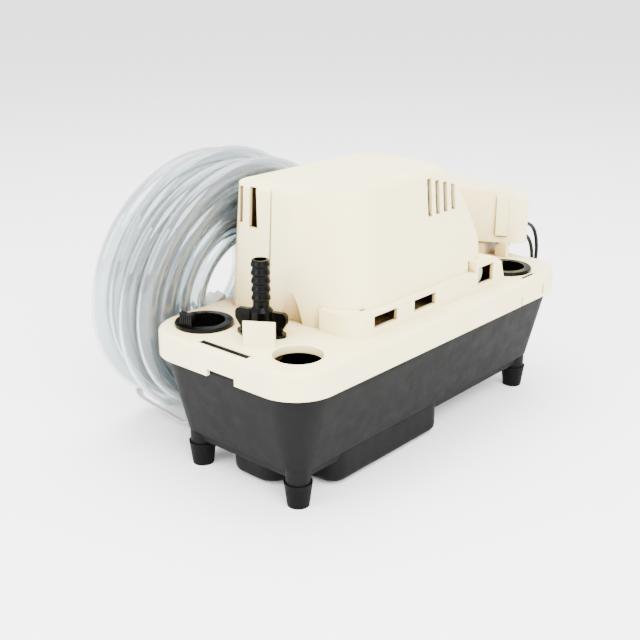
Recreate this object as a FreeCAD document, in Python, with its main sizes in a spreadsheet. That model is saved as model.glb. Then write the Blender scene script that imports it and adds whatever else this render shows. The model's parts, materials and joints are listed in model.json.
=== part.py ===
# Condensate removal pump: a low tank on four rubber feet, a moulded cover with drain inlets,
# a vertical motor under a tall vented housing, a float switch, a barbed check valve,
# two alarm leads and a standing coil of clear discharge hose.
# Millimetres, +Z up, origin on the floor under the middle of the tank cover.
# X runs along the length with the discharge valve at -X, and Y runs across.
import FreeCAD, Part
import Sketcher
import math
import os

Vector = FreeCAD.Vector
doc = FreeCAD.newDocument("condensate_pump")
sheet = doc.addObject("Spreadsheet::Sheet", "Sizes")
ROW = [0]


class Dim:
    """A driving size, or an expression made from sizes, with its present value."""

    def __init__(self, text, value):
        self.text = text
        self.value = value

    def __add__(self, other):
        other = dim(other)
        return Dim("(%s + %s)" % (self.text, other.text), self.value + other.value)

    def __sub__(self, other):
        other = dim(other)
        return Dim("(%s - %s)" % (self.text, other.text), self.value - other.value)

    def __mul__(self, other):
        other = dim(other)
        return Dim("%s * %s" % (self.text, other.text), self.value * other.value)

    def __truediv__(self, other):
        other = dim(other)
        return Dim("%s / (%s)" % (self.text, other.text), self.value / other.value)

    def __neg__(self):
        return Dim("(0 - %s)" % self.text, -self.value)

    def __radd__(self, other):
        return dim(other) + self

    def __rsub__(self, other):
        return dim(other) - self

    def __rmul__(self, other):
        return dim(other) * self


def dim(value):
    """Any number or size as a Dim."""
    return value if isinstance(value, Dim) else Dim(repr(float(value)), float(value))


def tangent(angle):
    """The tangent of an angle given in degrees."""
    return Dim("tan(%s * 1 deg)" % angle.text, math.tan(math.radians(angle.value)))


def heading(words):
    """A title row in the sheet."""
    ROW[0] += 1
    sheet.set("A%d" % ROW[0], words)


def size(alias, value):
    """A named driving size in the sheet."""
    ROW[0] += 1
    sheet.set("A%d" % ROW[0], alias.replace("_", " "))
    sheet.set("B%d" % ROW[0], str(value))
    sheet.setAlias("B%d" % ROW[0], alias)
    return Dim("Sizes.%s" % alias, float(value))


heading("Tank cover")
lid_length = size("lid_length", 279.4)
lid_width = size("lid_width", 127.0)
lid_corner = size("lid_corner", 25.8)
lid_wall = size("lid_wall", 2.5)
deck_top = size("deck_top", 90.3)
skirt_bottom = size("skirt_bottom", 74.0)
deck_edge_round = size("deck_edge_round", 3.4)
latch_notch_near = size("latch_notch_near", -15.0)
latch_notch_far = size("latch_notch_far", 7.0)
latch_notch_top = size("latch_notch_top", 78.2)
front_slot_x = size("front_slot_x", -132.8)
front_slot_near = size("front_slot_near", -20.3)
front_slot_length = size("front_slot_length", 38.3)
front_slot_width = size("front_slot_width", 4.6)
rear_slot_x = size("rear_slot_x", 89.0)
rear_slot_y = size("rear_slot_y", -57.2)
rear_slot_length = size("rear_slot_length", 15.0)
rear_slot_width = size("rear_slot_width", 2.4)
inlet_x = size("inlet_x", 112.4)
inlet_y = size("inlet_y", 37.5)
inlet_radius = size("inlet_radius", 14.3)
inlet_wall = size("inlet_wall", 1.6)
inlet_depth = size("inlet_depth", 4.5)
rear_inlet_x = size("rear_inlet_x", 100.6)
slit_x = size("slit_x", 80.0)
slit_width = size("slit_width", 1.2)
slit_height = size("slit_height", 6.7)
mark_x = size("mark_x", 107.2)
mark_width = size("mark_width", 1.6)
mark_bottom = size("mark_bottom", 76.5)
mark_height = size("mark_height", 6.0)

heading("Raised plateau and bump on the cover")
plateau_top = size("plateau_top", 103.5)
plateau_near = size("plateau_near", -50.4)
plateau_front = size("plateau_front", -76.6)
plateau_inner_front = size("plateau_inner_front", -71.5)
plateau_front_end = size("plateau_front_end", -21.0)
plateau_far = size("plateau_far", 30.0)
plateau_rear = size("plateau_rear", 57.5)
plateau_corner = size("plateau_corner", 14.0)
plateau_wall = size("plateau_wall", 2.4)
ledge_width = size("ledge_width", 8.6)
bump_front = size("bump_front", 43.0)
bump_rear = size("bump_rear", 78.0)
bump_top = size("bump_top", 110.0)
bump_far = size("bump_far", -27.0)
bump_slope_top = size("bump_slope_top", 64.0)
bump_nose = size("bump_nose", 73.0)
bump_nose_top = size("bump_nose_top", 104.6)
window_length = size("window_length", 21.5)
window_height = size("window_height", 7.2)
window_sill = size("window_sill", 94.5)
window_one_x = size("window_one_x", -62.0)
window_two_x = size("window_two_x", -23.5)
window_three_x = size("window_three_x", 45.5)
window_three_length = size("window_three_length", 17.5)
window_three_height = size("window_three_height", 11.5)

heading("Switch pedestal on the cover")
pedestal_top = size("pedestal_top", 101.0)
pedestal_inset = size("pedestal_inset", 1.6)
pedestal_wall = size("pedestal_wall", 2.4)
pedestal_near = size("pedestal_near", -9.0)
pedestal_corner = size("pedestal_corner", 6.5)
column_x = size("column_x", 126.2)
column_y = size("column_y", -18.6)
column_width = size("column_width", 9.0)
column_depth = size("column_depth", 5.0)

heading("Locking tab")
tab_distance = size("tab_distance", 18.9)
tab_width = size("tab_width", 18.4)
tab_height = size("tab_height", 14.2)
tab_thickness = size("tab_thickness", 1.8)
tab_shift = size("tab_shift", -2.8)
tab_heading = size("tab_heading", 212.0)

heading("Tank")
tank_wall = size("tank_wall", 2.6)
tank_floor = size("tank_floor", 17.6)
tank_draft = size("tank_draft", 12.9)
tank_corner = size("tank_corner", 10.0)
tank_band_top = size("tank_band_top", 25.0)
tank_band_step = size("tank_band_step", 3.0)
rim_gap = size("rim_gap", 1.2)
recess_x = size("recess_x", -57.0)
recess_length = size("recess_length", 14.0)
recess_height = size("recess_height", 6.0)
recess_depth = size("recess_depth", 1.2)
sump_bottom = size("sump_bottom", 2.3)
sump_front = size("sump_front", -90.7)
sump_rear = size("sump_rear", 17.0)
sump_half_width = size("sump_half_width", 45.6)
sump_corner = size("sump_corner", 11.0)
sump_round = size("sump_round", 4.0)
lobe_front = size("lobe_front", -114.7)
lobe_shoulder = size("lobe_shoulder", 14.0)
lobe_root = size("lobe_root", 28.0)
lobe_round = size("lobe_round", 12.0)
tongue_gap = size("tongue_gap", 0.25)
tongue_depth = size("tongue_depth", 3.0)
tongue_drop = size("tongue_drop", 1.2)

heading("Feet")
foot_x = size("foot_x", 115.6)
foot_y = size("foot_y", 39.8)
post_radius = size("post_radius", 7.3)
post_tip_radius = size("post_tip_radius", 5.2)
cup_height = size("cup_height", 15.0)
cup_floor = size("cup_floor", 2.0)
cup_base_radius = size("cup_base_radius", 6.5)
cup_lip_radius = size("cup_lip_radius", 8.4)
cup_gap = size("cup_gap", 0.05)

heading("Motor housing")
cover_top = size("cover_top", 177.8)
cover_wall = size("cover_wall", 2.5)
cover_near_base = size("cover_near_base", -46.1)
cover_near_top = size("cover_near_top", -38.6)
cover_far_base = size("cover_far_base", 51.5)
cover_far_top = size("cover_far_top", 47.0)
cover_face_base = size("cover_face_base", -66.5)
cover_face_top = size("cover_face_top", -62.2)
cover_front_base = size("cover_front_base", -78.6)
cover_front_top = size("cover_front_top", -74.0)
cover_bend_y = size("cover_bend_y", 2.0)
cover_bend_round = size("cover_bend_round", 25.0)
scoop_radius = size("scoop_radius", 11.0)
scoop_depth = size("scoop_depth", 5.0)
scoop_y = size("scoop_y", -1.0)
scoop_height = size("scoop_height", 37.0)
cover_groove_y = size("cover_groove_y", 17.5)
groove_width = size("groove_width", 1.3)
groove_depth = size("groove_depth", 0.9)
cover_rear = size("cover_rear", 61.0)
cover_near_corner = size("cover_near_corner", 24.0)
cover_rear_corner = size("cover_rear_corner", 10.0)
cover_far_corner = size("cover_far_corner", 6.0)
cover_edge_round = size("cover_edge_round", 8.0)
roof_front = size("roof_front", 170.4)
cover_round_margin = size("cover_round_margin", 0.5)
crown_edge = size("crown_edge", 174.5)
crown_far_edge = size("crown_far_edge", 169.0)
crown_y = size("crown_y", 6.0)
crown_peak = size("crown_peak", 180.5)
crown_round = size("crown_round", 70.0)
roof_peak_x = size("roof_peak_x", 13.5)
roof_peak_round = size("roof_peak_round", 15.0)
roof_mid_x = size("roof_mid_x", 40.0)
roof_mid_z = size("roof_mid_z", 150.5)
roof_low_z = size("roof_low_z", 106.0)
roof_rear_round = size("roof_rear_round", 60.0)
louvre_pitch = size("louvre_pitch", 8.2)
louvre_width = size("louvre_width", 4.3)
louvre_x = size("louvre_x", 0.4)
louvre_bottom = size("louvre_bottom", 146.5)
louvre_top = size("louvre_top", 169.4)
louvre_fall = size("louvre_fall", 2.2)
front_vent_top = size("front_vent_top", 166.6)
front_vent_bottom = size("front_vent_bottom", 142.3)
front_vent_far = size("front_vent_far", 35.2)
front_vent_top_near = size("front_vent_top_near", 29.8)
front_vent_low_near = size("front_vent_low_near", 28.2)
corner_vent_y = size("corner_vent_y", 42.1)
corner_vent_width = size("corner_vent_width", 3.0)
corner_vent_bottom = size("corner_vent_bottom", 144.0)
corner_vent_height = size("corner_vent_height", 22.0)

heading("Switch housing")
hood_wall = size("hood_wall", 2.5)
hood_near_x = size("hood_near_x", 129.3)
hood_near_y = size("hood_near_y", -29.5)
hood_end_y = size("hood_end_y", -31.6)
hood_far_y = size("hood_far_y", 47.0)
hood_arm_x = size("hood_arm_x", 62.0)
hood_arm_y = size("hood_arm_y", 28.5)
hood_bend_x = size("hood_bend_x", 98.8)
hood_corner = size("hood_corner", 5.0)
hood_far_top = size("hood_far_top", 141.5)
hood_near_top = size("hood_near_top", 137.2)
hood_top_round = size("hood_top_round", 13.0)
rib_width = size("rib_width", 8.5)
rib_height = size("rib_height", 1.8)
rib_bottom = size("rib_bottom", 106.5)
rib_top = size("rib_top", 135.0)

heading("Check valve")
valve_x = size("valve_x", -102.3)
valve_bore = size("valve_bore", 3.6)
barb_radius = size("barb_radius", 4.8)
barb_crest = size("barb_crest", 5.6)
barb_top = size("barb_top", 135.0)
barb_pitch = size("barb_pitch", 4.95)
barb_count = 5
collar_top = size("collar_top", 107.4)
collar_bottom = size("collar_bottom", 97.6)
collar_radius = size("collar_radius", 6.9)
valve_body_radius = size("valve_body_radius", 8.6)
valve_ring_radius = size("valve_ring_radius", 11.2)
base_reach = size("base_reach", 17.5)
base_shoulder = size("base_shoulder", 5.0)
base_end_round = size("base_end_round", 4.0)
base_side_round = size("base_side_round", 9.0)
valve_ring_height = size("valve_ring_height", 1.8)
wing_reach = size("wing_reach", 16.4)
wing_top = size("wing_top", 105.0)
wing_foot = size("wing_foot", 11.5)
wing_thickness = size("wing_thickness", 3.2)
wing_corner = size("wing_corner", 3.0)
wing_turn = size("wing_turn", 107.0)
spigot_radius = size("spigot_radius", 9.9)
spigot_bottom = size("spigot_bottom", 79.0)
spigot_gap = size("spigot_gap", 0.08)
socket_wall = size("socket_wall", 2.2)
poppet_chamber = size("poppet_chamber", 6.4)
poppet_travel = size("poppet_travel", 3.0)
seal_section = size("seal_section", 1.2)

heading("Drain plugs")
plug_flange_radius = size("plug_flange_radius", 17.5)
plug_flange_height = size("plug_flange_height", 2.4)
plug_gap = size("plug_gap", 0.08)
plug_wall = size("plug_wall", 1.8)
plug_recess = size("plug_recess", 12.6)
plug_depth = size("plug_depth", 8.0)
plug_tab_height = size("plug_tab_height", 7.6)
plug_tab_width = size("plug_tab_width", 10.0)
plug_tab_length = size("plug_tab_length", 3.0)

heading("Pump end")
motor_x = size("motor_x", -36.0)
shaft_radius = size("shaft_radius", 3.0)
shaft_bottom = size("shaft_bottom", 8.6)
shaft_top = size("shaft_top", 161.0)
running_gap = size("running_gap", 0.06)
volute_radius = size("volute_radius", 21.5)
volute_inner = size("volute_inner", 19.0)
volute_bottom = size("volute_bottom", 8.0)
volute_height = size("volute_height", 14.0)
volute_roof = size("volute_roof", 2.2)
intake_radius = size("intake_radius", 6.0)
intake_plate = size("intake_plate", 1.6)
strainer_slots = 12
impeller_radius = size("impeller_radius", 16.0)
impeller_disc = size("impeller_disc", 1.8)
impeller_height = size("impeller_height", 7.0)
impeller_bottom = size("impeller_bottom", 10.0)
blade_count = 6
blade_thickness = size("blade_thickness", 1.4)
pipe_radius = size("pipe_radius", 5.4)
pipe_bore = size("pipe_bore", 3.8)
pipe_height = size("pipe_height", 14.6)
pipe_offset = size("pipe_offset", 12.6)
elbow_radius = size("elbow_radius", 11.0)
pump_column_radius = size("pump_column_radius", 9.0)
pump_column_wall = size("pump_column_wall", 1.8)

heading("Motor")
stack_front = size("stack_front", 25.0)
stack_rear = size("stack_rear", 60.0)
stack_width = size("stack_width", 54.0)
stack_bottom = size("stack_bottom", 113.0)
stack_height = size("stack_height", 24.0)
stack_chamfer = size("stack_chamfer", 9.0)
rotor_radius = size("rotor_radius", 12.6)
air_gap = size("air_gap", 0.4)
rotor_over = size("rotor_over", 2.0)
leg_front = size("leg_front", 43.0)
leg_window_front = size("leg_window_front", 31.0)
leg_half_width = size("leg_half_width", 16.5)
bobbin_wall = size("bobbin_wall", 1.2)
coil_build = size("coil_build", 9.0)
bracket_thickness = size("bracket_thickness", 2.0)
bracket_gap = size("bracket_gap", 5.5)
bracket_width = size("bracket_width", 18.0)
bearing_radius = size("bearing_radius", 7.0)
bearing_height = size("bearing_height", 6.0)
bolt_reach = size("bolt_reach", 19.0)
bolt_radius = size("bolt_radius", 2.0)
bolt_head_radius = size("bolt_head_radius", 3.6)
bolt_head_height = size("bolt_head_height", 2.4)
boss_radius = size("boss_radius", 4.6)
slinger_radius = size("slinger_radius", 10.0)
slinger_bottom = size("slinger_bottom", 94.0)
slinger_height = size("slinger_height", 2.0)
fan_radius = size("fan_radius", 24.0)
fan_bottom = size("fan_bottom", 150.5)
fan_height = size("fan_height", 8.0)
fan_disc = size("fan_disc", 1.4)
fan_hub = size("fan_hub", 6.0)
fan_blades = 9
fan_blade_thickness = size("fan_blade_thickness", 1.2)

heading("Float and switches")
float_front = size("float_front", 56.0)
float_rear = size("float_rear", 118.0)
float_width = size("float_width", 80.0)
float_bottom = size("float_bottom", 28.0)
float_height = size("float_height", 20.0)
float_corner = size("float_corner", 9.0)
float_travel = size("float_travel", 18.0)
rod_x = size("rod_x", 112.0)
rod_y = size("rod_y", 37.0)
rod_radius = size("rod_radius", 2.5)
rod_top = size("rod_top", 95.4)
guide_radius = size("guide_radius", 3.8)
guide_flange = size("guide_flange", 4.5)
guide_height = size("guide_height", 10.0)
lever_x = size("lever_x", 52.0)
lever_z = size("lever_z", 99.4)
lever_pin_radius = size("lever_pin_radius", 2.5)
lever_thickness = size("lever_thickness", 3.0)
lever_width = size("lever_width", 6.0)
lever_reach = size("lever_reach", 64.0)
cam_radius = size("cam_radius", 6.5)
cam_thickness = size("cam_thickness", 4.0)
cam_y = size("cam_y", -41.0)
saddle_wall = size("saddle_wall", 2.4)
saddle_far_y = size("saddle_far_y", 28.8)
saddle_near_y = size("saddle_near_y", -28.2)
plate_y = size("plate_y", 41.6)
plate_thickness = size("plate_thickness", 1.2)
plate_front = size("plate_front", 68.0)
plate_rear = size("plate_rear", 127.0)
plate_top = size("plate_top", 135.6)
plate_foot = size("plate_foot", 9.0)
plate_foot_length = size("plate_foot_length", 30.0)
switch_length = size("switch_length", 27.8)
switch_height = size("switch_height", 13.6)
switch_width = size("switch_width", 9.6)
run_switch_x = size("run_switch_x", 71.0)
safety_switch_x = size("safety_switch_x", 99.0)
run_switch_bottom = size("run_switch_bottom", 116.1)
safety_switch_bottom = size("safety_switch_bottom", 121.8)
run_plunger_place = size("run_plunger_place", 20.5)
safety_plunger_place = size("safety_plunger_place", 11.0)
plunger_size = size("plunger_size", 2.6)
plunger_reach = size("plunger_reach", 2.2)
plunger_travel = size("plunger_travel", 1.0)
switch_screw_radius = size("switch_screw_radius", 1.3)

heading("Leads and gland")
lead_y = size("lead_y", -25.0)
lead_high = size("lead_high", 113.0)
lead_low = size("lead_low", 106.4)
lead_diameter = size("lead_diameter", 2.7)
grommet_margin = size("grommet_margin", 2.2)
gland_x = size("gland_x", 131.0)
gland_z = size("gland_z", 112.0)
gland_radius = size("gland_radius", 5.6)
gland_bore = size("gland_bore", 3.4)
gland_length = size("gland_length", 9.0)

heading("Hose coil")
hose_diameter = size("hose_diameter", 12.7)
hose_bore = size("hose_bore", 9.5)
hose_pitch = size("hose_pitch", 13.15)
hose_outer = size("hose_outer", 87.0)
hose_lean = size("hose_lean", 8.0)
hose_settle = size("hose_settle", 4.4)
hose_x = size("hose_x", -50.0)
hose_stand_off = size("hose_stand_off", 0.7)
hose_turns = 4
hose_layers = 4
tie_width = size("tie_width", 7.0)
tie_thickness = size("tie_thickness", 1.2)
tie_room = size("tie_room", 0.85)
doc.recompute()

FINISHED = {}


def finish(label, obj):
    """Registers an object as a finished sub-part under its label."""
    obj.Label = label
    FINISHED[label] = obj
    return obj


def bind(obj, prop, value):
    """Sets a property from a size, with its expression."""
    obj.setExpression(prop, dim(value).text)


def plane_of(body, role):
    """One of a body's own origin planes."""
    return [item for item in body.Origin.OriginFeatures if item.Role == role][0]


def corner_points(vertices):
    """Start, end and centre of each rounded corner of a polygon, from present values."""
    count = len(vertices)
    result = []
    for index in range(count):
        here = Vector(vertices[index][0].value, vertices[index][1].value, 0)
        before = Vector(vertices[index - 1][0].value, vertices[index - 1][1].value, 0)
        after_index = (index + 1) % count
        after = Vector(vertices[after_index][0].value, vertices[after_index][1].value, 0)
        radius = vertices[index][2].value
        back = (before - here).normalize()
        ahead = (after - here).normalize()
        half = back.getAngle(ahead) / 2
        reach = radius / math.tan(half)
        start = here + back * reach
        end = here + ahead * reach
        middle = (back + ahead).normalize()
        centre = here + middle * (radius / math.sin(half))
        result.append((start, end, centre, centre - middle * radius))
    return result


def draw_outline(sketch, vertices):
    """Draws a closed outline of straight runs with rounded corners, fully tied to the sizes."""
    vertices = [tuple(dim(item) for item in (tuple(v) + (0,))[:3]) for v in vertices]
    corners = corner_points([(x, y, r) for x, y, r in vertices])
    count = len(vertices)
    ties = []
    names = []

    def tie(constraint, value=None):
        ties.append(constraint)
        names.append(value)

    points = []
    for index, (x, y, r) in enumerate(vertices):
        spot = sketch.addGeometry(Part.Point(Vector(x.value, y.value, 0)), True)
        points.append(spot)
        tie(Sketcher.Constraint("DistanceX", -1, 1, spot, 1, x.value), x)
        tie(Sketcher.Constraint("DistanceY", -1, 1, spot, 1, y.value), y)
    lines = []
    for index in range(count):
        after = (index + 1) % count
        lines.append(sketch.addGeometry(Part.LineSegment(corners[index][1], corners[after][0])))
    for index, (x, y, r) in enumerate(vertices):
        previous = lines[index - 1]
        current = lines[index]
        if r.value > 0:
            start, end, centre, middle = corners[index]
            arc = sketch.addGeometry(Part.Arc(start, middle, end))
            curve = sketch.Geometry[arc]
            first = curve.StartPoint
            at_start, at_end = (1, 2) if (first - start).Length < (first - end).Length else (2, 1)
            tie(Sketcher.Constraint("Tangent", previous, 2, arc, at_start))
            tie(Sketcher.Constraint("Tangent", arc, at_end, current, 1))
            tie(Sketcher.Constraint("PointOnObject", points[index], 1, previous))
            tie(Sketcher.Constraint("PointOnObject", points[index], 1, current))
            tie(Sketcher.Constraint("Radius", arc, r.value), r)
        else:
            tie(Sketcher.Constraint("Coincident", previous, 2, points[index], 1))
            tie(Sketcher.Constraint("Coincident", current, 1, points[index], 1))
    first = sketch.ConstraintCount
    sketch.addConstraint(ties)
    for offset, value in enumerate(names):
        if value is not None:
            name = "c%d" % (first + offset)
            sketch.renameConstraint(first + offset, name)
            sketch.setExpression("Constraints.%s" % name, value.text)


def draw_circle(sketch, x, y, radius):
    """Draws a circle tied to its centre and radius."""
    x, y, radius = dim(x), dim(y), dim(radius)
    circle = sketch.addGeometry(Part.Circle(Vector(x.value, y.value, 0), Vector(0, 0, 1), radius.value))
    first = sketch.ConstraintCount
    sketch.addConstraint([
        Sketcher.Constraint("DistanceX", -1, 1, circle, 3, x.value),
        Sketcher.Constraint("DistanceY", -1, 1, circle, 3, y.value),
        Sketcher.Constraint("Radius", circle, radius.value),
    ])
    for offset, value in enumerate((x, y, radius)):
        name = "c%d" % (first + offset)
        sketch.renameConstraint(first + offset, name)
        sketch.setExpression("Constraints.%s" % name, value.text)


def rectangle(x0, x1, y0, y1, radius=0):
    """The four corners of a rectangle between limits."""
    return [(x0, y0, radius), (x1, y0, radius), (x1, y1, radius), (x0, y1, radius)]


class Piece:
    """A PartDesign body with short ways to add sketched features."""

    def __init__(self, label):
        self.body = doc.addObject("PartDesign::Body", "Body_" + label)
        self.label = label
        self.count = 0
        finish(label, self.body)

    def sketch(self, outlines=(), circles=(), role="XY_Plane", height=0):
        self.count += 1
        sketch = self.body.newObject("Sketcher::SketchObject", "%s_sketch_%d" % (self.label, self.count))
        sketch.AttachmentSupport = (plane_of(self.body, role), [""])
        sketch.MapMode = "FlatFace"
        height = dim(height)
        sketch.AttachmentOffset = FreeCAD.Placement(Vector(0, 0, height.value), FreeCAD.Rotation())
        sketch.setExpression("AttachmentOffset.Base.z", height.text)
        for outline in outlines:
            draw_outline(sketch, outline)
        for circle in circles:
            draw_circle(sketch, *circle)
        doc.recompute()
        return sketch

    def feature(self, kind, sketch, length=None, reverse=False, taper=None, midplane=False):
        self.count += 1
        made = self.body.newObject("PartDesign::" + kind, "%s_%s_%d" % (self.label, kind.lower(), self.count))
        made.Profile = sketch
        if length is not None:
            made.setExpression("Length", dim(length).text)
        made.Reversed = reverse
        if midplane:
            made.Midplane = True
        if taper is not None:
            made.setExpression("TaperAngle", dim(taper).text)
        doc.recompute()
        return made

    def pad(self, outlines=(), circles=(), low=0, high=0, taper=None, role="XY_Plane"):
        low, high = dim(low), dim(high)
        return self.feature("Pad", self.sketch(outlines, circles, role, low), high - low, taper=taper)

    def pocket(self, outlines=(), circles=(), low=0, high=0, taper=None, role="XY_Plane"):
        """Cuts the outline away from the low level up to the high level."""
        low, high = dim(low), dim(high)
        before = self.body.Shape.Volume
        made = self.feature("Pocket", self.sketch(outlines, circles, role, low), high - low, True, taper)
        if not self.body.Shape.Volume < before:
            raise ValueError("pocket %s cuts nothing" % made.Name)
        return made

    def pattern(self, feature, count, axis_role="Z_Axis"):
        """Repeats a feature round the body's own Z axis."""
        self.count += 1
        made = self.body.newObject("PartDesign::PolarPattern", "%s_pattern_%d" % (self.label, self.count))
        made.Originals = [feature]
        made.Axis = (plane_of(self.body, axis_role), [""])
        made.Angle = 360
        made.Occurrences = count
        self.body.Tip = made
        doc.recompute()
        return made

    def round_edges(self, chooser, radius):
        """Rounds the edges that the chooser picks."""
        self.count += 1
        tip = self.body.Tip
        picked = ["Edge%d" % (i + 1) for i, edge in enumerate(tip.Shape.Edges) if chooser(edge)]
        made = self.body.newObject("PartDesign::Fillet", "%s_fillet_%d" % (self.label, self.count))
        made.Base = (tip, picked)
        made.setExpression("Radius", dim(radius).text)
        doc.recompute()
        return made

    def place(self, x=0, y=0, z=0):
        """Puts the body's origin at a place in the pump."""
        for axis, value in zip("xyz", (x, y, z)):
            self.body.setExpression("Placement.Base." + axis, dim(value).text)
        doc.recompute()


def primitive(kind, name, sizes, x=0, y=0, z=0, axis=None, angle=0):
    """A Part primitive with bound sizes and place."""
    made = doc.addObject("Part::" + kind, name)
    for prop, value in sizes.items():
        made.setExpression(prop, dim(value).text)
    if axis is not None:
        made.Placement = FreeCAD.Placement(Vector(0, 0, 0), FreeCAD.Rotation(axis, dim(angle).value))
        if isinstance(angle, Dim):
            made.setExpression("Placement.Rotation.Angle", angle.text + " * 1 deg")
    for letter, value in zip("xyz", (x, y, z)):
        made.setExpression("Placement.Base." + letter, dim(value).text)
    return made


def box(name, x0, x1, y0, y1, z0, z1):
    """A box between limits."""
    x0, x1, y0, y1, z0, z1 = (dim(v) for v in (x0, x1, y0, y1, z0, z1))
    return primitive("Box", name, {"Length": x1 - x0, "Width": y1 - y0, "Height": z1 - z0}, x0, y0, z0)


def cylinder(name, radius, z0, z1, x=0, y=0):
    """An upright cylinder between two levels."""
    z0, z1 = dim(z0), dim(z1)
    return primitive("Cylinder", name, {"Radius": radius, "Height": z1 - z0}, x, y, z0)


def boolean(kind, name, items):
    """A Part boolean of finished objects: Cut takes two, the others take a list."""
    made = doc.addObject("Part::" + kind, name)
    made.Refine = False
    if kind == "Cut":
        made.Base, made.Tool = items
    else:
        made.Shapes = list(items)
    return made


def prism(name, outline, low, high, upright=True, across="Y"):
    """An extruded outline: upright along Z, or across along Y (x, z outline) or X (y, z outline)."""
    low, high = dim(low), dim(high)
    sketch = doc.addObject("Sketcher::SketchObject", name + "_sketch")
    if upright:
        sketch.setExpression("Placement.Base.z", low.text)
        direction = Vector(0, 0, 1)
    elif across == "Y":
        sketch.Placement = FreeCAD.Placement(Vector(0, 0, 0), FreeCAD.Rotation(Vector(1, 0, 0), 90))
        sketch.setExpression("Placement.Base.y", low.text)
        direction = Vector(0, 1, 0)
    else:
        turn = FreeCAD.Rotation(Vector(0, 1, 0), Vector(0, 0, 1), Vector(1, 0, 0), "ZXY")
        sketch.Placement = FreeCAD.Placement(Vector(0, 0, 0), turn)
        sketch.setExpression("Placement.Base.x", low.text)
        direction = Vector(1, 0, 0)
    draw_outline(sketch, outline)
    doc.recompute()
    made = doc.addObject("Part::Extrusion", name)
    made.Base = sketch
    made.DirMode = "Custom"
    made.Dir = direction
    made.Solid = True
    made.setExpression("LengthFwd", (high - low).text)
    doc.recompute()
    return made


# Tank cover: deck and skirt, then the raised parts, then everything that is cut through.
lid = Piece("tank_cover")
half_length = lid_length / 2
half_width = lid_width / 2
deck_under = deck_top - lid_wall
lid.pad([rectangle(-half_length, half_length, -half_width, half_width, lid_corner)], low=skirt_bottom, high=deck_top)
lid.round_edges(lambda e: e.BoundBox.ZMin > deck_top.value - 0.01, deck_edge_round)
lid.pocket([rectangle(lid_wall - half_length, half_length - lid_wall, lid_wall - half_width,
                      half_width - lid_wall, lid_corner - lid_wall)], low=skirt_bottom, high=deck_under)

plateau_outline = [
    (plateau_front, plateau_near, plateau_corner), (plateau_rear, plateau_near, 0),
    (plateau_rear, plateau_far, plateau_wall * 1.5), (plateau_inner_front, plateau_far, 0),
    (plateau_inner_front, plateau_front_end, 0), (plateau_front, plateau_front_end, 0)]
lid.pad([plateau_outline], low=deck_top, high=plateau_top)
bump_outline = [(bump_front, deck_top, 0), (bump_rear, deck_top, 0), (bump_nose, bump_nose_top, lid_wall),
                (bump_slope_top, bump_top, lid_wall), (bump_front, bump_top, 0)]
lid.feature("Pad", lid.sketch([bump_outline], role="XZ_Plane", height=-bump_far), bump_far - plateau_near)
inner_near = plateau_near + plateau_wall
plateau_hollow = [
    (plateau_front + plateau_wall, inner_near, plateau_corner - plateau_wall),
    (plateau_rear - plateau_wall, inner_near, 0),
    (plateau_rear - plateau_wall, plateau_far - plateau_wall, plateau_wall / 2),
    (plateau_inner_front + plateau_wall, plateau_far - plateau_wall, 0),
    (plateau_inner_front + plateau_wall, plateau_front_end - plateau_wall, 0),
    (plateau_front + plateau_wall, plateau_front_end - plateau_wall, 0)]
lid.pocket([plateau_hollow], low=deck_top, high=plateau_top - plateau_wall)
opening_near = plateau_near + ledge_width
lid.pocket([rectangle(plateau_inner_front + ledge_width, plateau_rear - plateau_wall, opening_near,
                      plateau_far - plateau_wall, plateau_wall / 2)], low=deck_top, high=plateau_top)
bump_hollow = [(bump_front + plateau_wall, deck_top, 0), (bump_rear - plateau_wall * 1.3, deck_top, 0),
               (bump_nose - plateau_wall, bump_nose_top - plateau_wall, 0),
               (bump_slope_top - plateau_wall / 2, bump_top - plateau_wall, 0),
               (bump_front + plateau_wall, bump_top - plateau_wall, 0)]
hollow_depth = bump_far - plateau_near - plateau_wall - plateau_wall
lid.feature("Pocket", lid.sketch([bump_hollow], role="XZ_Plane", height=plateau_wall - bump_far), hollow_depth, True)

# Air windows through the near wall of the plateau and bump.
window_top = window_sill + window_height
windows = [rectangle(window_one_x, window_one_x + window_length, window_sill, window_top),
           rectangle(window_two_x, window_two_x + window_length, window_sill, window_top),
           rectangle(window_three_x, window_three_x + window_three_length, window_sill,
                     window_sill + window_three_height)]
window_cut = lid.sketch(windows, role="XZ_Plane", height=-(plateau_near + plateau_wall * 2))
lid.feature("Pocket", window_cut, plateau_wall * 3, True)

# Drain inlets with their collars, the valve socket, and the slots of the latches.
INLETS = [(-inlet_x, -inlet_y), (-inlet_x, inlet_y), (rear_inlet_x, -inlet_y)]
collar_low = deck_top - inlet_depth
lid.pad(circles=[(x, y, inlet_radius + inlet_wall) for x, y in INLETS], low=collar_low, high=deck_under)
lid.pocket(circles=[(x, y, inlet_radius) for x, y in INLETS], low=collar_low, high=deck_top)
socket_radius = spigot_radius + spigot_gap
lid.pad(circles=[(valve_x, 0, socket_radius + socket_wall)], low=spigot_bottom - lid_wall, high=deck_under)
lid.pocket(circles=[(valve_x, 0, socket_radius)], low=spigot_bottom, high=deck_top)
lid.pocket(circles=[(valve_x, 0, pipe_radius)], low=spigot_bottom - lid_wall, high=deck_top)
lid.pocket([rectangle(front_slot_x - front_slot_width / 2, front_slot_x + front_slot_width / 2,
                      front_slot_near, front_slot_near + front_slot_length),
            rectangle(rear_slot_x, rear_slot_x + rear_slot_length, rear_slot_y - rear_slot_width / 2,
                      rear_slot_y + rear_slot_width / 2)], low=deck_under, high=deck_top)
lid.pocket([rectangle(-half_length - lid_wall, lid_wall * 1.2 - half_length, latch_notch_near, latch_notch_far)],
           low=skirt_bottom, high=latch_notch_top)
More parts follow.
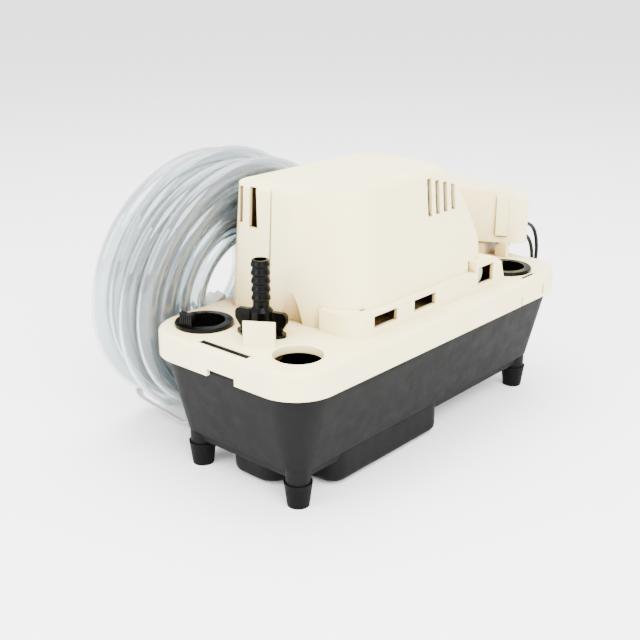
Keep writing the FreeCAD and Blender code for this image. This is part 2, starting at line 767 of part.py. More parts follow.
marks = [rectangle(slit_x, slit_x + slit_width, skirt_bottom, skirt_bottom + slit_height),
         rectangle(mark_x, mark_x + mark_width, mark_bottom, mark_bottom + mark_height)]
mark_cut = lid.sketch(marks, role="XZ_Plane", height=half_width - lid_wall * 1.2)
lid.feature("Pocket", mark_cut, lid_wall * 1.6, True)

# Openings for the shaft, the float rod guide and the bosses that carry the motor.
BOLTS = [(sx, sy) for sx in (-1, 1) for sy in (-1, 1)]
bolt_spots = [(motor_x + bolt_reach * sx, bolt_reach * sy) for sx, sy in BOLTS]
boss_top = stack_bottom - bracket_thickness - bracket_gap
lid.pad(circles=[(x, y, boss_radius) for x, y in bolt_spots], low=deck_top, high=boss_top)
lid.pocket(circles=[(x, y, bolt_radius * 1.06) for x, y in bolt_spots], low=deck_top, high=boss_top)
lid.pocket(circles=[(motor_x, 0, shaft_radius + pump_column_wall)], low=deck_under, high=deck_top)
saddle_length = saddle_wall * 2


def saddle(y):
    """An upright plate with a hole for the cross pin of the switch lever."""
    outline = [(lever_x - saddle_length, deck_top), (lever_x + saddle_length, deck_top),
               (lever_x + saddle_length, lever_z + saddle_length, saddle_wall),
               (lever_x - saddle_length, lever_z + saddle_length, saddle_wall)]
    made = lid.sketch([outline], role="XZ_Plane", height=-(y + saddle_wall / 2))
    lid.feature("Pad", made, saddle_wall)
    made = lid.sketch(circles=[(lever_x, lever_z, lever_pin_radius + running_gap)], role="XZ_Plane",
                      height=-(y - saddle_wall))
    lid.feature("Pocket", made, saddle_wall * 2)


saddle(saddle_near_y)
saddle(saddle_far_y)

# Pedestal and column that carry the switch housing.
hood_rear_x = lid_length / 2
hood_run_x = hood_near_x - hood_bend_x
hood_run_y = hood_arm_y - hood_near_y
hood_slope = hood_run_x / hood_run_y


def hood_line(y):
    """X of the slanting near wall of the switch housing at a given y."""
    return hood_near_x - hood_slope * (dim(y) - hood_near_y)


def pedestal_outline(inset):
    """Outline of the pedestal under the switch housing, drawn in by an inset."""
    near = pedestal_near + inset
    return [(hood_line(near) + inset * 1.2, near, 0), (hood_rear_x - inset, near, 0),
            (hood_rear_x - inset, hood_far_y - inset, pedestal_corner - inset),
            (cover_rear + pedestal_inset + inset, hood_far_y - inset, 0),
            (cover_rear + pedestal_inset + inset, hood_arm_y + inset, 0),
            (hood_bend_x + inset * 1.2, hood_arm_y + inset, 0)]


lid.pad([pedestal_outline(pedestal_inset)], low=deck_under, high=pedestal_top)
lid.pocket([pedestal_outline(pedestal_inset + pedestal_wall)], low=deck_top, high=pedestal_top)
lid.pocket(circles=[(rod_x, rod_y, guide_radius)], low=deck_under, high=deck_top)
lever_slot_low = lever_z - lever_thickness
lid.feature("Pocket", lid.sketch([rectangle(rod_y - lever_width, rod_y + lever_width / 1.4, lever_slot_low - lever_thickness,
                                            pedestal_top + lid_wall)], role="YZ_Plane",
                                 height=cover_rear), pedestal_wall * 4, True)
lid.pad([rectangle(column_x - column_depth / 2, column_x + column_depth / 2, column_y - column_width / 2,
                   column_y + column_width / 2)], low=deck_under, high=pedestal_top)

# Locking tab that stands beside the valve: a separate upright plate fused to the deck.
tab = primitive("Box", "tab_plate", {"Length": tab_thickness, "Width": tab_width, "Height": tab_height + lid_wall / 2})
tab_turn = FreeCAD.Rotation(Vector(0, 0, 1), tab_heading.value)
tab.Placement = FreeCAD.Placement(Vector(0, 0, 0), tab_turn)
bind(tab, "Placement.Rotation.Angle", Dim(tab_heading.text + " * 1 deg", tab_heading.value))
cos_tab = Dim("cos(%s * 1 deg)" % tab_heading.text, math.cos(math.radians(tab_heading.value)))
sin_tab = Dim("sin(%s * 1 deg)" % tab_heading.text, math.sin(math.radians(tab_heading.value)))
tab_start = tab_distance - tab_thickness / 2
tab_side = tab_width / 2 + tab_shift
bind(tab, "Placement.Base.x", valve_x + cos_tab * tab_start + sin_tab * tab_side)
bind(tab, "Placement.Base.y", sin_tab * tab_start - cos_tab * tab_side)
bind(tab, "Placement.Base.z", deck_top - lid_wall / 2)
doc.recompute()
lid.body.Label = "tank_cover_moulding"
finish("tank_cover", boolean("MultiFuse", "tank_cover_with_tab", [lid.body, tab]))
doc.recompute()
print("tank_cover", FINISHED["tank_cover"].Shape.BoundBox, len(FINISHED["tank_cover"].Shape.Solids))

# Tank: tapered shell with a deeper sump under the pump, a rim inside the skirt, and four posts.
rim_length = lid_length - lid_wall * 2 - rim_gap * 2
rim_width = lid_width - lid_wall * 2 - rim_gap * 2
draft_rate = tangent(tank_draft)


def tank_outline(level, inset=0):
    """Outline of the tank wall at a level, drawn in by an inset."""
    fall = (skirt_bottom - level) * draft_rate
    reach_x = rim_length / 2 - fall - inset
    reach_y = rim_width / 2 - fall - inset
    return rectangle(-reach_x, reach_x, -reach_y, reach_y, tank_corner + (tank_floor - level) * -draft_rate - inset)


tank = Piece("tank")
tank.pad([tank_outline(tank_floor, tank_band_step)], low=tank_floor, high=tank_band_top, taper=tank_draft)
tank.pad([tank_outline(tank_band_top)], low=tank_band_top, high=skirt_bottom, taper=tank_draft)
tank.pad([tank_outline(skirt_bottom)], low=skirt_bottom, high=deck_under)


def sump_outline(inset):
    """Outline of the sump with its pointed front lobe, drawn in by an inset."""
    front = sump_front + inset
    half = sump_half_width - inset
    nose = lobe_front + inset
    shoulder = lobe_shoulder - inset / 2
    return [(front, -half, sump_corner - inset), (sump_rear - inset, -half, sump_corner - inset),
            (sump_rear - inset, half, sump_corner - inset), (front, half, sump_corner - inset),
            (front, lobe_root - inset / 2, 0), (nose, shoulder, lobe_round - inset),
            (nose, -shoulder, lobe_round - inset), (front, inset / 2 - lobe_root, 0)]


tank.pad([sump_outline(0)], low=sump_bottom, high=tank_band_top)
tank.round_edges(lambda e: e.BoundBox.ZMax < sump_bottom.value + 0.01, sump_round)
spots = [(foot_x * sx, foot_y * sy) for sx, sy in BOLTS]
tank.pad(circles=[(x, y, post_radius) for x, y in spots], low=cup_height, high=tank_band_top + tank_wall / 2)
shelf_top = tank_band_top + tank_wall
tank.pocket([tank_outline(tank_floor + tank_wall, tank_wall + tank_band_step)], low=tank_floor + tank_wall,
            high=shelf_top, taper=tank_draft)
tank.pocket([tank_outline(shelf_top, tank_wall)], low=shelf_top, high=skirt_bottom, taper=tank_draft)
tank.pocket([tank_outline(skirt_bottom, tank_wall)], low=skirt_bottom, high=deck_under)
tank.pocket([sump_outline(tank_wall)], low=sump_bottom + tank_wall, high=shelf_top)
recess_y = -(rim_width / 2)
tank.pocket([rectangle(recess_x, recess_x + recess_length, recess_y - recess_depth, recess_y + recess_depth)],
            low=skirt_bottom - recess_height, high=skirt_bottom)
rim_inner_x = rim_length / 2 - tank_wall
tongue_rear = front_slot_x + front_slot_width / 2 - tongue_gap
tongue_near = front_slot_near + tongue_gap
tongue_far = front_slot_near + front_slot_length - tongue_gap
tank.pad([rectangle(-rim_inner_x - tongue_gap, tongue_rear, tongue_near, tongue_far)],
         low=deck_under - tongue_depth, high=deck_under)
tank.pad([rectangle(front_slot_x - front_slot_width / 2 + tongue_gap, tongue_rear, tongue_near, tongue_far)],
         low=deck_under - tongue_gap, high=deck_top - tongue_drop)
tank.body.Label = "tank_moulding"
POSTS = []
for index, (x, y) in enumerate(spots):
    post = primitive("Cone", "post_%d" % index,
                     {"Radius1": post_tip_radius, "Radius2": post_radius, "Height": cup_height - cup_floor},
                     x, y, cup_floor)
    POSTS.append(post)
finish("tank", boolean("MultiFuse", "tank_with_posts", [tank.body] + POSTS))
FOOT_NAMES = ["foot_front_near", "foot_front_far", "foot_rear_near", "foot_rear_far"]
for index, (x, y) in enumerate(spots):
    outer = primitive("Cone", "cup_outer_%d" % index,
                      {"Radius1": cup_base_radius, "Radius2": cup_lip_radius, "Height": cup_height}, x, y)
    inner = primitive("Cone", "cup_inner_%d" % index,
                      {"Radius1": post_tip_radius + cup_gap, "Radius2": post_radius + cup_gap,
                       "Height": cup_height - cup_floor}, x, y, cup_floor)
    finish(FOOT_NAMES[index], boolean("Cut", "cup_%d" % index, [outer, inner]))

# Motor housing: a lofted shell under a curved roof line, with louvres, vents and a groove.
fall_height = cover_top - deck_top
slant_share = 0.77


def housing_form(name, inset, low):
    """The closed form of the motor housing, drawn in by an inset, from a low level up to the roof."""
    low = dim(low)
    share = (low - deck_top) / fall_height

    def between(base, top):
        return base + (top - base) * share

    def outline(near, far, face, front):
        return [(face + inset * slant_share, near + inset, cover_near_corner - inset),
                (cover_rear - inset, near + inset, cover_rear_corner - inset),
                (cover_rear - inset, far - inset, cover_rear_corner - inset),
                (front + inset, far - inset, cover_far_corner - inset),
                (front + inset, cover_bend_y, cover_bend_round - inset)]

    lower = doc.addObject("Sketcher::SketchObject", name + "_low")
    lower.setExpression("Placement.Base.z", low.text)
    draw_outline(lower, outline(between(cover_near_base, cover_near_top), between(cover_far_base, cover_far_top),
                                between(cover_face_base, cover_face_top), between(cover_front_base, cover_front_top)))
    upper = doc.addObject("Sketcher::SketchObject", name + "_high")
    upper.setExpression("Placement.Base.z", cover_top.text)
    draw_outline(upper, outline(cover_near_top, cover_far_top, cover_face_top, cover_front_top))
    doc.recompute()
    loft = doc.addObject("Part::Loft", name + "_loft")
    loft.Sections = [lower, upper]
    loft.Solid = True
    loft.Ruled = True
    low_cut = low - cover_wall
    nose = cover_round_margin - inset
    roof = [(cover_front_base - nose, low_cut, 0), (cover_rear + inset, low_cut, 0),
            (cover_rear - inset + cover_wall, roof_low_z - inset, roof_rear_round),
            (roof_mid_x - inset, roof_mid_z - inset, roof_rear_round),
            (roof_peak_x - inset / 2, cover_top + lid_wall / 2 - inset, roof_peak_round - inset),
            (cover_front_top - nose, roof_front - inset, cover_edge_round - inset)]
    under_roof = prism(name + "_roof", roof, -(lid_width / 2), lid_width / 2, upright=False)
    side = cover_round_margin - inset
    crown = [(cover_near_base - side, low_cut, 0), (cover_far_base + side, low_cut, 0),
             (cover_far_top + side, crown_far_edge - inset, cover_edge_round - inset),
             (crown_y, crown_peak - inset, crown_round),
             (cover_near_top - side, crown_edge - inset, cover_edge_round - inset)]
    under_crown = prism(name + "_crown", crown, -(lid_length / 2), lid_length / 2, False, "X")
    doc.recompute()
    return boolean("MultiCommon", name + "_form", [loft, under_roof, under_crown])


def scoop(name, extra):
    """The tapered hollow in the front wall behind the valve, grown by an extra radius."""
    extra = dim(extra)
    front_fall = (cover_front_top - cover_front_base) / fall_height
    narrowing = (scoop_depth + front_fall * scoop_height) / scoop_height
    reach = scoop_height * 1.5
    return primitive("Cone", name, {"Radius1": scoop_radius + extra, "Radius2": scoop_radius + extra - narrowing * reach,
                                    "Height": reach},
                     cover_front_base + scoop_depth - scoop_radius, scoop_y, deck_top)


outer_form = boolean("Cut", "housing_outer_scooped", [housing_form("housing_outer", dim(0), deck_top), scoop("scoop_outer", 0)])
inner_form = boolean("Cut", "housing_inner_scooped",
                     [housing_form("housing_inner", cover_wall, deck_top), scoop("scoop_inner", cover_wall)])
doc.recompute()
print("housing forms", outer_form.Shape.Volume, inner_form.Shape.Volume, outer_form.Shape.BoundBox)


cuts = [inner_form]
ledge_cut = box("housing_ledge_cut", plateau_inner_front, plateau_rear, plateau_near - cover_wall,
                plateau_far, deck_top, plateau_top)
cuts.append(ledge_cut)
cuts.append(box("housing_front_ledge_cut", plateau_front - cover_wall, plateau_inner_front, plateau_near,
                plateau_front_end, deck_top, plateau_top))
cuts.append(box("housing_bump_cut", bump_front - cover_wall / 2, lid_length, plateau_near - cover_wall,
                bump_far + cover_wall / 2, deck_top, bump_top + cup_gap))
cuts.append(box("housing_lever_slot", lever_x - cover_wall * 3, lid_length, rod_y - lever_width,
                hood_far_y + cover_wall, deck_top, lever_z + lever_width))
hood_mouth_top = hood_near_top - cover_wall * 6
for index in range(4):
    x = louvre_x + louvre_pitch * index
    cuts.append(box("louvre_%d" % index, x, x + louvre_width, cover_near_base, cover_near_top + cover_wall * 2,
                    louvre_bottom, louvre_top - louvre_fall * index))
vent = [(front_vent_low_near, front_vent_bottom, 0), (front_vent_far, front_vent_bottom, 0),
        (front_vent_far, front_vent_top, 0), (front_vent_top_near, front_vent_top, 0)]
cuts.append(prism("front_vent", vent, cover_front_base, cover_front_top + cover_wall * 2, False, "X"))
cuts.append(box("corner_vent", cover_front_base, cover_front_top + cover_wall * 2,
                corner_vent_y - corner_vent_width / 2, corner_vent_y + corner_vent_width / 2,
                corner_vent_bottom, corner_vent_bottom + corner_vent_height))
groove_low = deck_top + plateau_wall
front_fall = (cover_front_top - cover_front_base) / (cover_top - deck_top)
groove_low_x = cover_front_base + front_fall * (groove_low - deck_top)
groove_high_x = cover_front_base + front_fall * (roof_front - deck_top)
groove = [(groove_low_x - cover_wall, groove_low, 0), (groove_low_x + groove_depth, groove_low, 0),
          (groove_high_x + groove_depth, roof_front, 0), (groove_high_x - cover_wall, roof_front, 0)]
cuts.append(prism("housing_groove", groove, cover_groove_y - groove_width / 2, cover_groove_y + groove_width / 2, False))
housing_cut = boolean("MultiFuse", "housing_cuts", cuts)
doc.recompute()
finish("motor_housing", boolean("Cut", "motor_housing_shell", [outer_form, housing_cut]))
doc.recompute()
print("motor_housing", FINISHED["motor_housing"].Shape.isValid(), len(FINISHED["motor_housing"].Shape.Solids),
      FINISHED["motor_housing"].Shape.Volume)

# Switch housing: plan outline in common with a sloping roof profile, hollow and open below.
hood_rear_y = hood_end_y + hood_corner


def hood_form(name, inset):
    """The closed form of the switch housing, drawn in by an inset."""
    inset = dim(inset)
    plan = [(hood_near_x + inset * 0.9, hood_near_y + inset * 1.3, hood_corner - inset),
            (hood_rear_x - inset, hood_end_y + inset, lid_wall - inset / 2),
            (hood_rear_x - inset, hood_far_y - inset, hood_corner - inset),
            (hood_arm_x + inset, hood_far_y - inset, 0), (hood_arm_x + inset, hood_arm_y + inset, 0),
            (hood_bend_x + inset * 1.1, hood_arm_y + inset, 0)]
    upright = prism(name + "_plan", plan, pedestal_top, hood_far_top + lid_wall)
    roof = [(hood_end_y + inset, pedestal_top, 0), (hood_far_y - inset, pedestal_top, 0),
            (hood_far_y - inset, hood_far_top - inset, hood_corner - inset),
            (hood_end_y + inset, hood_near_top - inset, hood_top_round - inset)]
    across = prism(name + "_profile", roof, 0, lid_length, False, "X")
    return boolean("MultiCommon", name + "_form", [upright, across])


hood_outer = hood_form("hood_outer", 0)
hood_inner = hood_form("hood_inner", hood_wall)
doc.recompute()
rib_y = column_y
rib = box("hood_rib", 0 - rib_height, rib_height * 2, 0 - rib_width / 2, rib_width / 2, rib_bottom, rib_top)
hood_angle = Dim("atan(%s) * 180 / pi" % hood_slope.text, math.degrees(math.atan(hood_slope.value)))
rib_turn = Dim("atan(%s)" % hood_slope.text, hood_angle.value)
hood_cos = Dim("cos(atan(%s))" % hood_slope.text, math.cos(math.atan(hood_slope.value)))
hood_sin = Dim("sin(atan(%s))" % hood_slope.text, math.sin(math.atan(hood_slope.value)))
rib.Placement = FreeCAD.Placement(Vector(0, 0, 0), FreeCAD.Rotation(Vector(0, 0, 1), hood_angle.value))
bind(rib, "Placement.Rotation.Angle", rib_turn)
bind(rib, "Placement.Base.x", hood_line(rib_y) - rib_height * hood_cos + rib_width / 2 * hood_sin)
bind(rib, "Placement.Base.y", rib_y - rib_height * hood_sin - rib_width / 2 * hood_cos)
bind(rib, "Placement.Base.z", rib_bottom)
hood_body = boolean("MultiFuse", "hood_with_rib", [hood_outer, rib])
grommet_half = lead_diameter / 2 + grommet_margin
grommet_cut = box("hood_grommet_cut", hood_rear_x - hood_wall * 2, hood_rear_x + hood_wall, lead_y - grommet_half,
                  lead_y + grommet_half, lead_low - grommet_half, lead_high + grommet_half)
gland_cut = primitive("Cylinder", "hood_gland_cut", {"Radius": gland_radius - cup_gap * 8, "Height": hood_wall * 3},
                      gland_x, hood_far_y + hood_wall, gland_z, Vector(1, 0, 0), 90)
hood_cuts = boolean("MultiFuse", "hood_cuts", [hood_inner, grommet_cut, gland_cut,
                                               box("hood_mouth", hood_arm_x - hood_wall, hood_arm_x + hood_wall * 2,
                                                   hood_arm_y + hood_wall, hood_far_y - hood_wall, pedestal_top,
                                                   hood_mouth_top)])
finish("switch_housing", boolean("Cut", "switch_housing_shell", [hood_body, hood_cuts]))
doc.recompute()
print("switch_housing", FINISHED["switch_housing"].Shape.isValid(), len(FINISHED["switch_housing"].Shape.Solids),
      FINISHED["switch_housing"].Shape.BoundBox)

# Check valve: spigot, seal groove, flange ring, shoulder, hose barb with five crests, two wings.


def lathe(name, outline, x, y=0):
    """A turned solid from an (r, z) outline, standing on an axis at x, y."""
    sketch = doc.addObject("Sketcher::SketchObject", name + "_profile")
    sketch.Placement = FreeCAD.Placement(Vector(0, 0, 0), FreeCAD.Rotation(Vector(1, 0, 0), 90))
    draw_outline(sketch, outline)
    doc.recompute()
    made = doc.addObject("Part::Revolution", name)
    made.Source = sketch
    made.Axis = Vector(0, 0, 1)
    made.Base = Vector(0, 0, 0)
    made.Angle = 360
    made.Solid = True
    bind(made, "Placement.Base.x", x)
    bind(made, "Placement.Base.y", y)
    return made


barb_points = [(barb_radius, collar_top)]
for index in range(barb_count):
    foot = barb_top - barb_pitch * (barb_count - index)
    barb_points += [(barb_radius, foot + barb_pitch * 0.15), (barb_crest, foot + barb_pitch * 0.3),
                    (barb_crest, foot + barb_pitch * 0.5), (barb_radius, foot + barb_pitch * 0.97)]
seal_middle = (spigot_bottom + deck_top) / 2
chamber_top = collar_bottom - lid_wall
chamber_low = spigot_bottom + lid_wall
seat_bore = valve_bore + seal_section / 2
valve_outline = [
    (seat_bore, spigot_bottom + cup_gap), (spigot_radius, spigot_bottom + cup_gap),
    (spigot_radius, seal_middle - seal_section * 1.05), (spigot_radius - seal_section, seal_middle - seal_section * 1.05),
    (spigot_radius - seal_section, seal_middle + seal_section * 1.05), (spigot_radius, seal_middle + seal_section * 1.05),
    (spigot_radius, deck_top + cup_gap), (valve_ring_radius, deck_top + cup_gap),
    (valve_ring_radius, deck_top + valve_ring_height), (valve_body_radius, deck_top + valve_ring_height),
    (valve_body_radius, collar_bottom), (collar_radius, collar_bottom + lid_wall), (collar_radius, collar_top - lid_wall),
] + barb_points + [(barb_radius - cup_gap, barb_top), (valve_bore, barb_top), (valve_bore, chamber_top + lid_wall),
                   (poppet_chamber, chamber_top), (poppet_chamber, chamber_low), (seat_bore, chamber_low - seal_section)]
valve_turned = lathe("valve_turned", valve_outline, valve_x)
wing_plan = [(0 - wing_reach, wing_top, wing_corner), (0 - wing_reach, wing_top - wing_corner * 2, wing_corner / 2),
             (0 - wing_foot, deck_top + valve_ring_height / 2, 0), (wing_foot, deck_top + valve_ring_height / 2, 0),
             (wing_reach, wing_top - wing_corner * 2, wing_corner / 2), (wing_reach, wing_top, wing_corner)]
wing_raw = prism("wing_plate", wing_plan, 0 - wing_thickness / 2, wing_thickness / 2, False)
doc.recompute()
base_plan = [(0 - base_reach, 0, base_end_round), (0 - base_shoulder, 0 - valve_ring_radius, base_side_round),
             (base_shoulder, 0 - valve_ring_radius, base_side_round), (base_reach, 0, base_end_round),
             (base_shoulder, valve_ring_radius, base_side_round), (0 - base_shoulder, valve_ring_radius, base_side_round)]
base_raw = prism("valve_base_plate", base_plan, deck_top + cup_gap, deck_top + valve_ring_height)
doc.recompute()
wing_and_base = boolean("MultiFuse", "wing_and_base", [wing_raw, base_raw])
wings = boolean("Cut", "wing_pair", [wing_and_base, cylinder("wing_bore", valve_body_radius - lid_wall / 2, deck_top - lid_wall,
                                                        barb_top)])
wings.Placement = FreeCAD.Placement(Vector(0, 0, 0), FreeCAD.Rotation(Vector(0, 0, 1), wing_turn.value))
bind(wings, "Placement.Rotation.Angle", Dim(wing_turn.text + " * 1 deg", 0))
bind(wings, "Placement.Base.x", valve_x)
doc.recompute()
finish("check_valve", boolean("MultiFuse", "check_valve_body", [valve_turned, wings]))
seal_ring = primitive("Torus", "valve_seal_ring", {"Radius1": spigot_radius - seal_section, "Radius2": seal_section * 0.92},
                      valve_x, 0, seal_middle)
seal_low = seal_middle - seal_section * 2
seal_core = cylinder("seal_core", spigot_radius - seal_section, seal_low, barb_top, valve_x)
seal_trim = boolean("Cut", "valve_seal_trim", [seal_ring, seal_core])
seal_shell = cylinder("seal_shell", spigot_radius + cup_gap / 2, seal_low, barb_top, valve_x)
finish("valve_seal", boolean("MultiCommon", "valve_seal_body", [seal_trim, seal_shell]))
poppet_stem = seal_section
poppet_low = chamber_low + cup_gap
poppet_outline = [(0, poppet_low), (poppet_chamber - lid_wall / 2, poppet_low),
                  (poppet_chamber - lid_wall / 2, poppet_low + poppet_stem),
                  (poppet_stem, poppet_low + poppet_stem * 2), (poppet_stem, poppet_low + lid_wall * 2), (0, poppet_low + lid_wall * 2)]
finish("valve_poppet", lathe("valve_poppet_body", poppet_outline, valve_x))
doc.recompute()
for label in ("check_valve", "valve_seal", "valve_poppet"):
    print(label, FINISHED[label].Shape.isValid(), len(FINISHED[label].Shape.Solids), FINISHED[label].Shape.BoundBox)

# Drain plugs: a flanged cup with a pull tab, one in the far front inlet and one in the near rear inlet.
PLUGS = [("drain_plug_front", -inlet_x, inlet_y), ("drain_plug_rear", rear_inlet_x, -inlet_y)]
for label, x, y in PLUGS:
    plug_low = deck_top - plug_depth
    top = deck_top + plug_flange_height
    skin = inlet_radius - plug_gap
    outline = [(0, plug_low), (skin, plug_low), (skin, deck_top), (plug_flange_radius, deck_top),
               (plug_flange_radius, top - plug_wall / 3), (plug_flange_radius - plug_wall / 3, top), (plug_recess, top),
               (plug_recess - plug_wall / 2, plug_low + plug_wall), (0, plug_low + plug_wall)]
    turned = lathe(label + "_cup", outline, x, y)
    edge = x - plug_recess * 1.05
    tab_piece = box(label + "_tab", edge - plug_tab_length / 2, edge + plug_tab_length / 2,
                    y - plug_tab_width / 2, y + plug_tab_width / 2, top - plug_wall / 2, top + plug_tab_height)
    finish(label, boolean("MultiFuse", label + "_body", [turned, tab_piece]))
doc.recompute()

# Pump end in the sump: intake cover, volute with its slanted outlet, impeller, column, discharge pipe.
volute_top = volute_bottom + volute_height
volute = Piece("volute")
volute.pad(circles=[(0, 0, volute_radius)], low=volute_bottom, high=volute_top)
volute.pad([rectangle(-volute_radius - pipe_radius, pipe_radius - volute_inner, -pipe_offset - pipe_radius - pipe_bore / 2,
                      pipe_radius + pipe_bore / 2 - pipe_offset)], low=volute_bottom,
           high=pipe_height + pipe_radius + lid_wall / 2)
volute.pocket(circles=[(0, 0, volute_inner)], low=volute_bottom, high=volute_top - volute_roof)
volute.pocket(circles=[(0, 0, shaft_radius + running_gap)], low=volute_bottom, high=volute_top)
outlet_cut = volute.sketch(circles=[(-pipe_offset, pipe_height, pipe_radius)], role="YZ_Plane",
                           height=-volute_inner)
volute.feature("Pocket", outlet_cut, volute_radius * 2, False)
throat_cut = volute.sketch(circles=[(-pipe_offset, pipe_height, pipe_bore)], role="YZ_Plane",
                           height=-(volute_inner / 2))
volute.feature("Pocket", throat_cut, volute_inner, False)
volute.place(motor_x)
intake = Piece("intake_cover")
intake.pad(circles=[(0, 0, volute_radius)], low=volute_bottom - intake_plate, high=volute_bottom)
slot = intake.pad([rectangle(volute_radius - intake_plate * 2, volute_radius, -intake_plate, intake_plate)],
                  low=sump_bottom + tank_wall, high=volute_bottom - intake_plate)
intake.pattern(slot, strainer_slots)
intake.pocket(circles=[(0, 0, intake_radius)], low=volute_bottom - intake_plate, high=volute_bottom)
intake.place(motor_x)
impeller = Piece("impeller")
impeller.pad(circles=[(0, 0, impeller_radius)], low=impeller_bottom, high=impeller_bottom + impeller_disc)
impeller.pad(circles=[(0, 0, shaft_radius * 1.8)], low=impeller_bottom, high=impeller_bottom + impeller_height)
blade = impeller.pad([rectangle(shaft_radius * 1.5, impeller_radius - impeller_disc / 2, -blade_thickness / 2, blade_thickness / 2)],
                     low=impeller_bottom, high=impeller_bottom + impeller_height)
impeller.pattern(blade, blade_count)
impeller.pocket(circles=[(0, 0, shaft_radius)], low=impeller_bottom, high=impeller_bottom + impeller_height)
impeller.place(motor_x)
column = Piece("pump_column")
column.pad(circles=[(0, 0, pump_column_radius)], low=volute_top, high=deck_under)
column.pocket(circles=[(0, 0, pump_column_radius - pump_column_wall)], low=volute_top, high=deck_under)
column.place(motor_x)

# Discharge pipe: from the volute outlet along the sump, up an elbow, to the valve socket.


def routed_wire(points, radii):
    """A wire of straight runs joined by tangent arcs, one radius for each inner point."""
    edges = []
    start = points[0]
    for index in range(1, len(points) - 1):
        here = points[index]
        back = (points[index - 1] - here).normalize()
        ahead = (points[index + 1] - here).normalize()
        half = back.getAngle(ahead) / 2
        reach = radii[index - 1] / math.tan(half)
        first = here + back * reach
        last = here + ahead * reach
        middle = (back + ahead).normalize()
        crown = here + middle * (radii[index - 1] / math.sin(half) - radii[index - 1])
        edges.append(Part.LineSegment(start, first).toShape())
        edges.append(Part.Arc(first, crown, last).toShape())
        start = last
    edges.append(Part.LineSegment(start, points[-1]).toShape())
    return Part.Wire(edges)


def swept(wire, radius):
    """A solid round bar along a wire."""
    first = wire.OrderedEdges[0]
    start = first.valueAt(first.FirstParameter)
    along = first.tangentAt(first.FirstParameter)
    ring = Part.Wire([Part.Circle(start, along, radius).toShape()])
    return wire.makePipeShell([ring], True, False)


def own_shape(label, shape):
    """A finished sub-part whose shape comes straight from the sizes."""
    made = doc.addObject("Part::Feature", "Shape_" + label)
    made.Shape = shape
    made.Placement = FreeCAD.Placement()
    return finish(label, made)


run_start = Vector((motor_x - volute_inner).value, -pipe_offset.value, pipe_height.value)
pipe_turn = Vector(valve_x.value, 0, pipe_height.value)
pipe_points = [run_start, run_start - Vector(volute_radius.value / 2, 0, 0), pipe_turn,
               Vector(valve_x.value, 0, spigot_bottom.value - cup_gap.value)]
pipe_radii = [elbow_radius.value * 2, elbow_radius.value]
pipe_wire = routed_wire(pipe_points, pipe_radii)
own_shape("discharge_tube", swept(pipe_wire, pipe_radius.value - cup_gap.value).cut(
    swept(pipe_wire, pipe_bore.value)))

# Motor: laminated stack, rotor, bobbin and winding on the rear leg, brackets with bearings, fan, bolts.
stack_top = stack_bottom + stack_height
stack = Piece("stator_core")
stack_half = stack_width / 2
rotor_room = rotor_radius + air_gap
stack.pad([[(-stack_front, stack_chamfer - stack_half, 0), (stack_chamfer - stack_front, -stack_half, 0),
            (stack_rear, -stack_half, 0), (stack_rear, stack_half, 0), (stack_chamfer - stack_front, stack_half, 0),
            (-stack_front, stack_half - stack_chamfer, 0)]], low=stack_bottom, high=stack_top)
stack.pocket(circles=[(0, 0, rotor_room)], low=stack_bottom, high=stack_top)
stack.pocket([rectangle(leg_window_front, leg_front, -leg_half_width, leg_half_width)], low=stack_bottom, high=stack_top)
stack.pocket(circles=[(bolt_reach * sx, bolt_reach * sy, bolt_radius * 1.06) for sx, sy in BOLTS], low=stack_bottom, high=stack_top)
leg_rear = stack_rear
stack.place(motor_x)
rotor = Piece("rotor")
rotor.pad(circles=[(0, 0, rotor_radius)], low=stack_bottom - rotor_over, high=stack_top + rotor_over)
rotor.pocket(circles=[(0, 0, shaft_radius)], low=stack_bottom - rotor_over, high=stack_top + rotor_over)
rotor.place(motor_x)
shaft = Piece("motor_shaft")
shaft.pad(circles=[(0, 0, shaft_radius)], low=shaft_bottom, high=shaft_top)
shaft.place(motor_x)
slinger = Piece("shaft_slinger")
slinger.pad(circles=[(0, 0, slinger_radius)], low=slinger_bottom, high=slinger_bottom + slinger_height)
slinger.pocket(circles=[(0, 0, shaft_radius)], low=slinger_bottom, high=slinger_bottom + slinger_height)
slinger.place(motor_x)

# The bobbin and winding wrap the rear leg of the stack, whose grain runs across the pump.
bobbin_in_x = leg_front - bobbin_wall
bobbin_out_x = stack_rear + bobbin_wall
bobbin = Piece("coil_bobbin")
coil_half = leg_half_width - bobbin_wall / 2
bobbin_low = stack_bottom - bobbin_wall
bobbin_high = stack_top + bobbin_wall
flange_low = bobbin_low - coil_build
flange_high = bobbin_high + coil_build
core_front = leg_front + cup_gap


def across(piece, outline, near, far, cut=False):
    """A pad or pocket of an (x, z) outline between two y limits."""
    near, far = dim(near), dim(far)
    made = piece.sketch([outline], role="XZ_Plane", height=-far)
    return piece.feature("Pocket" if cut else "Pad", made, far - near, cut)


def wrap(x0, x1, z0, z1):
    return [(x0, z0), (x1, z0), (x1, z1), (x0, z1)]


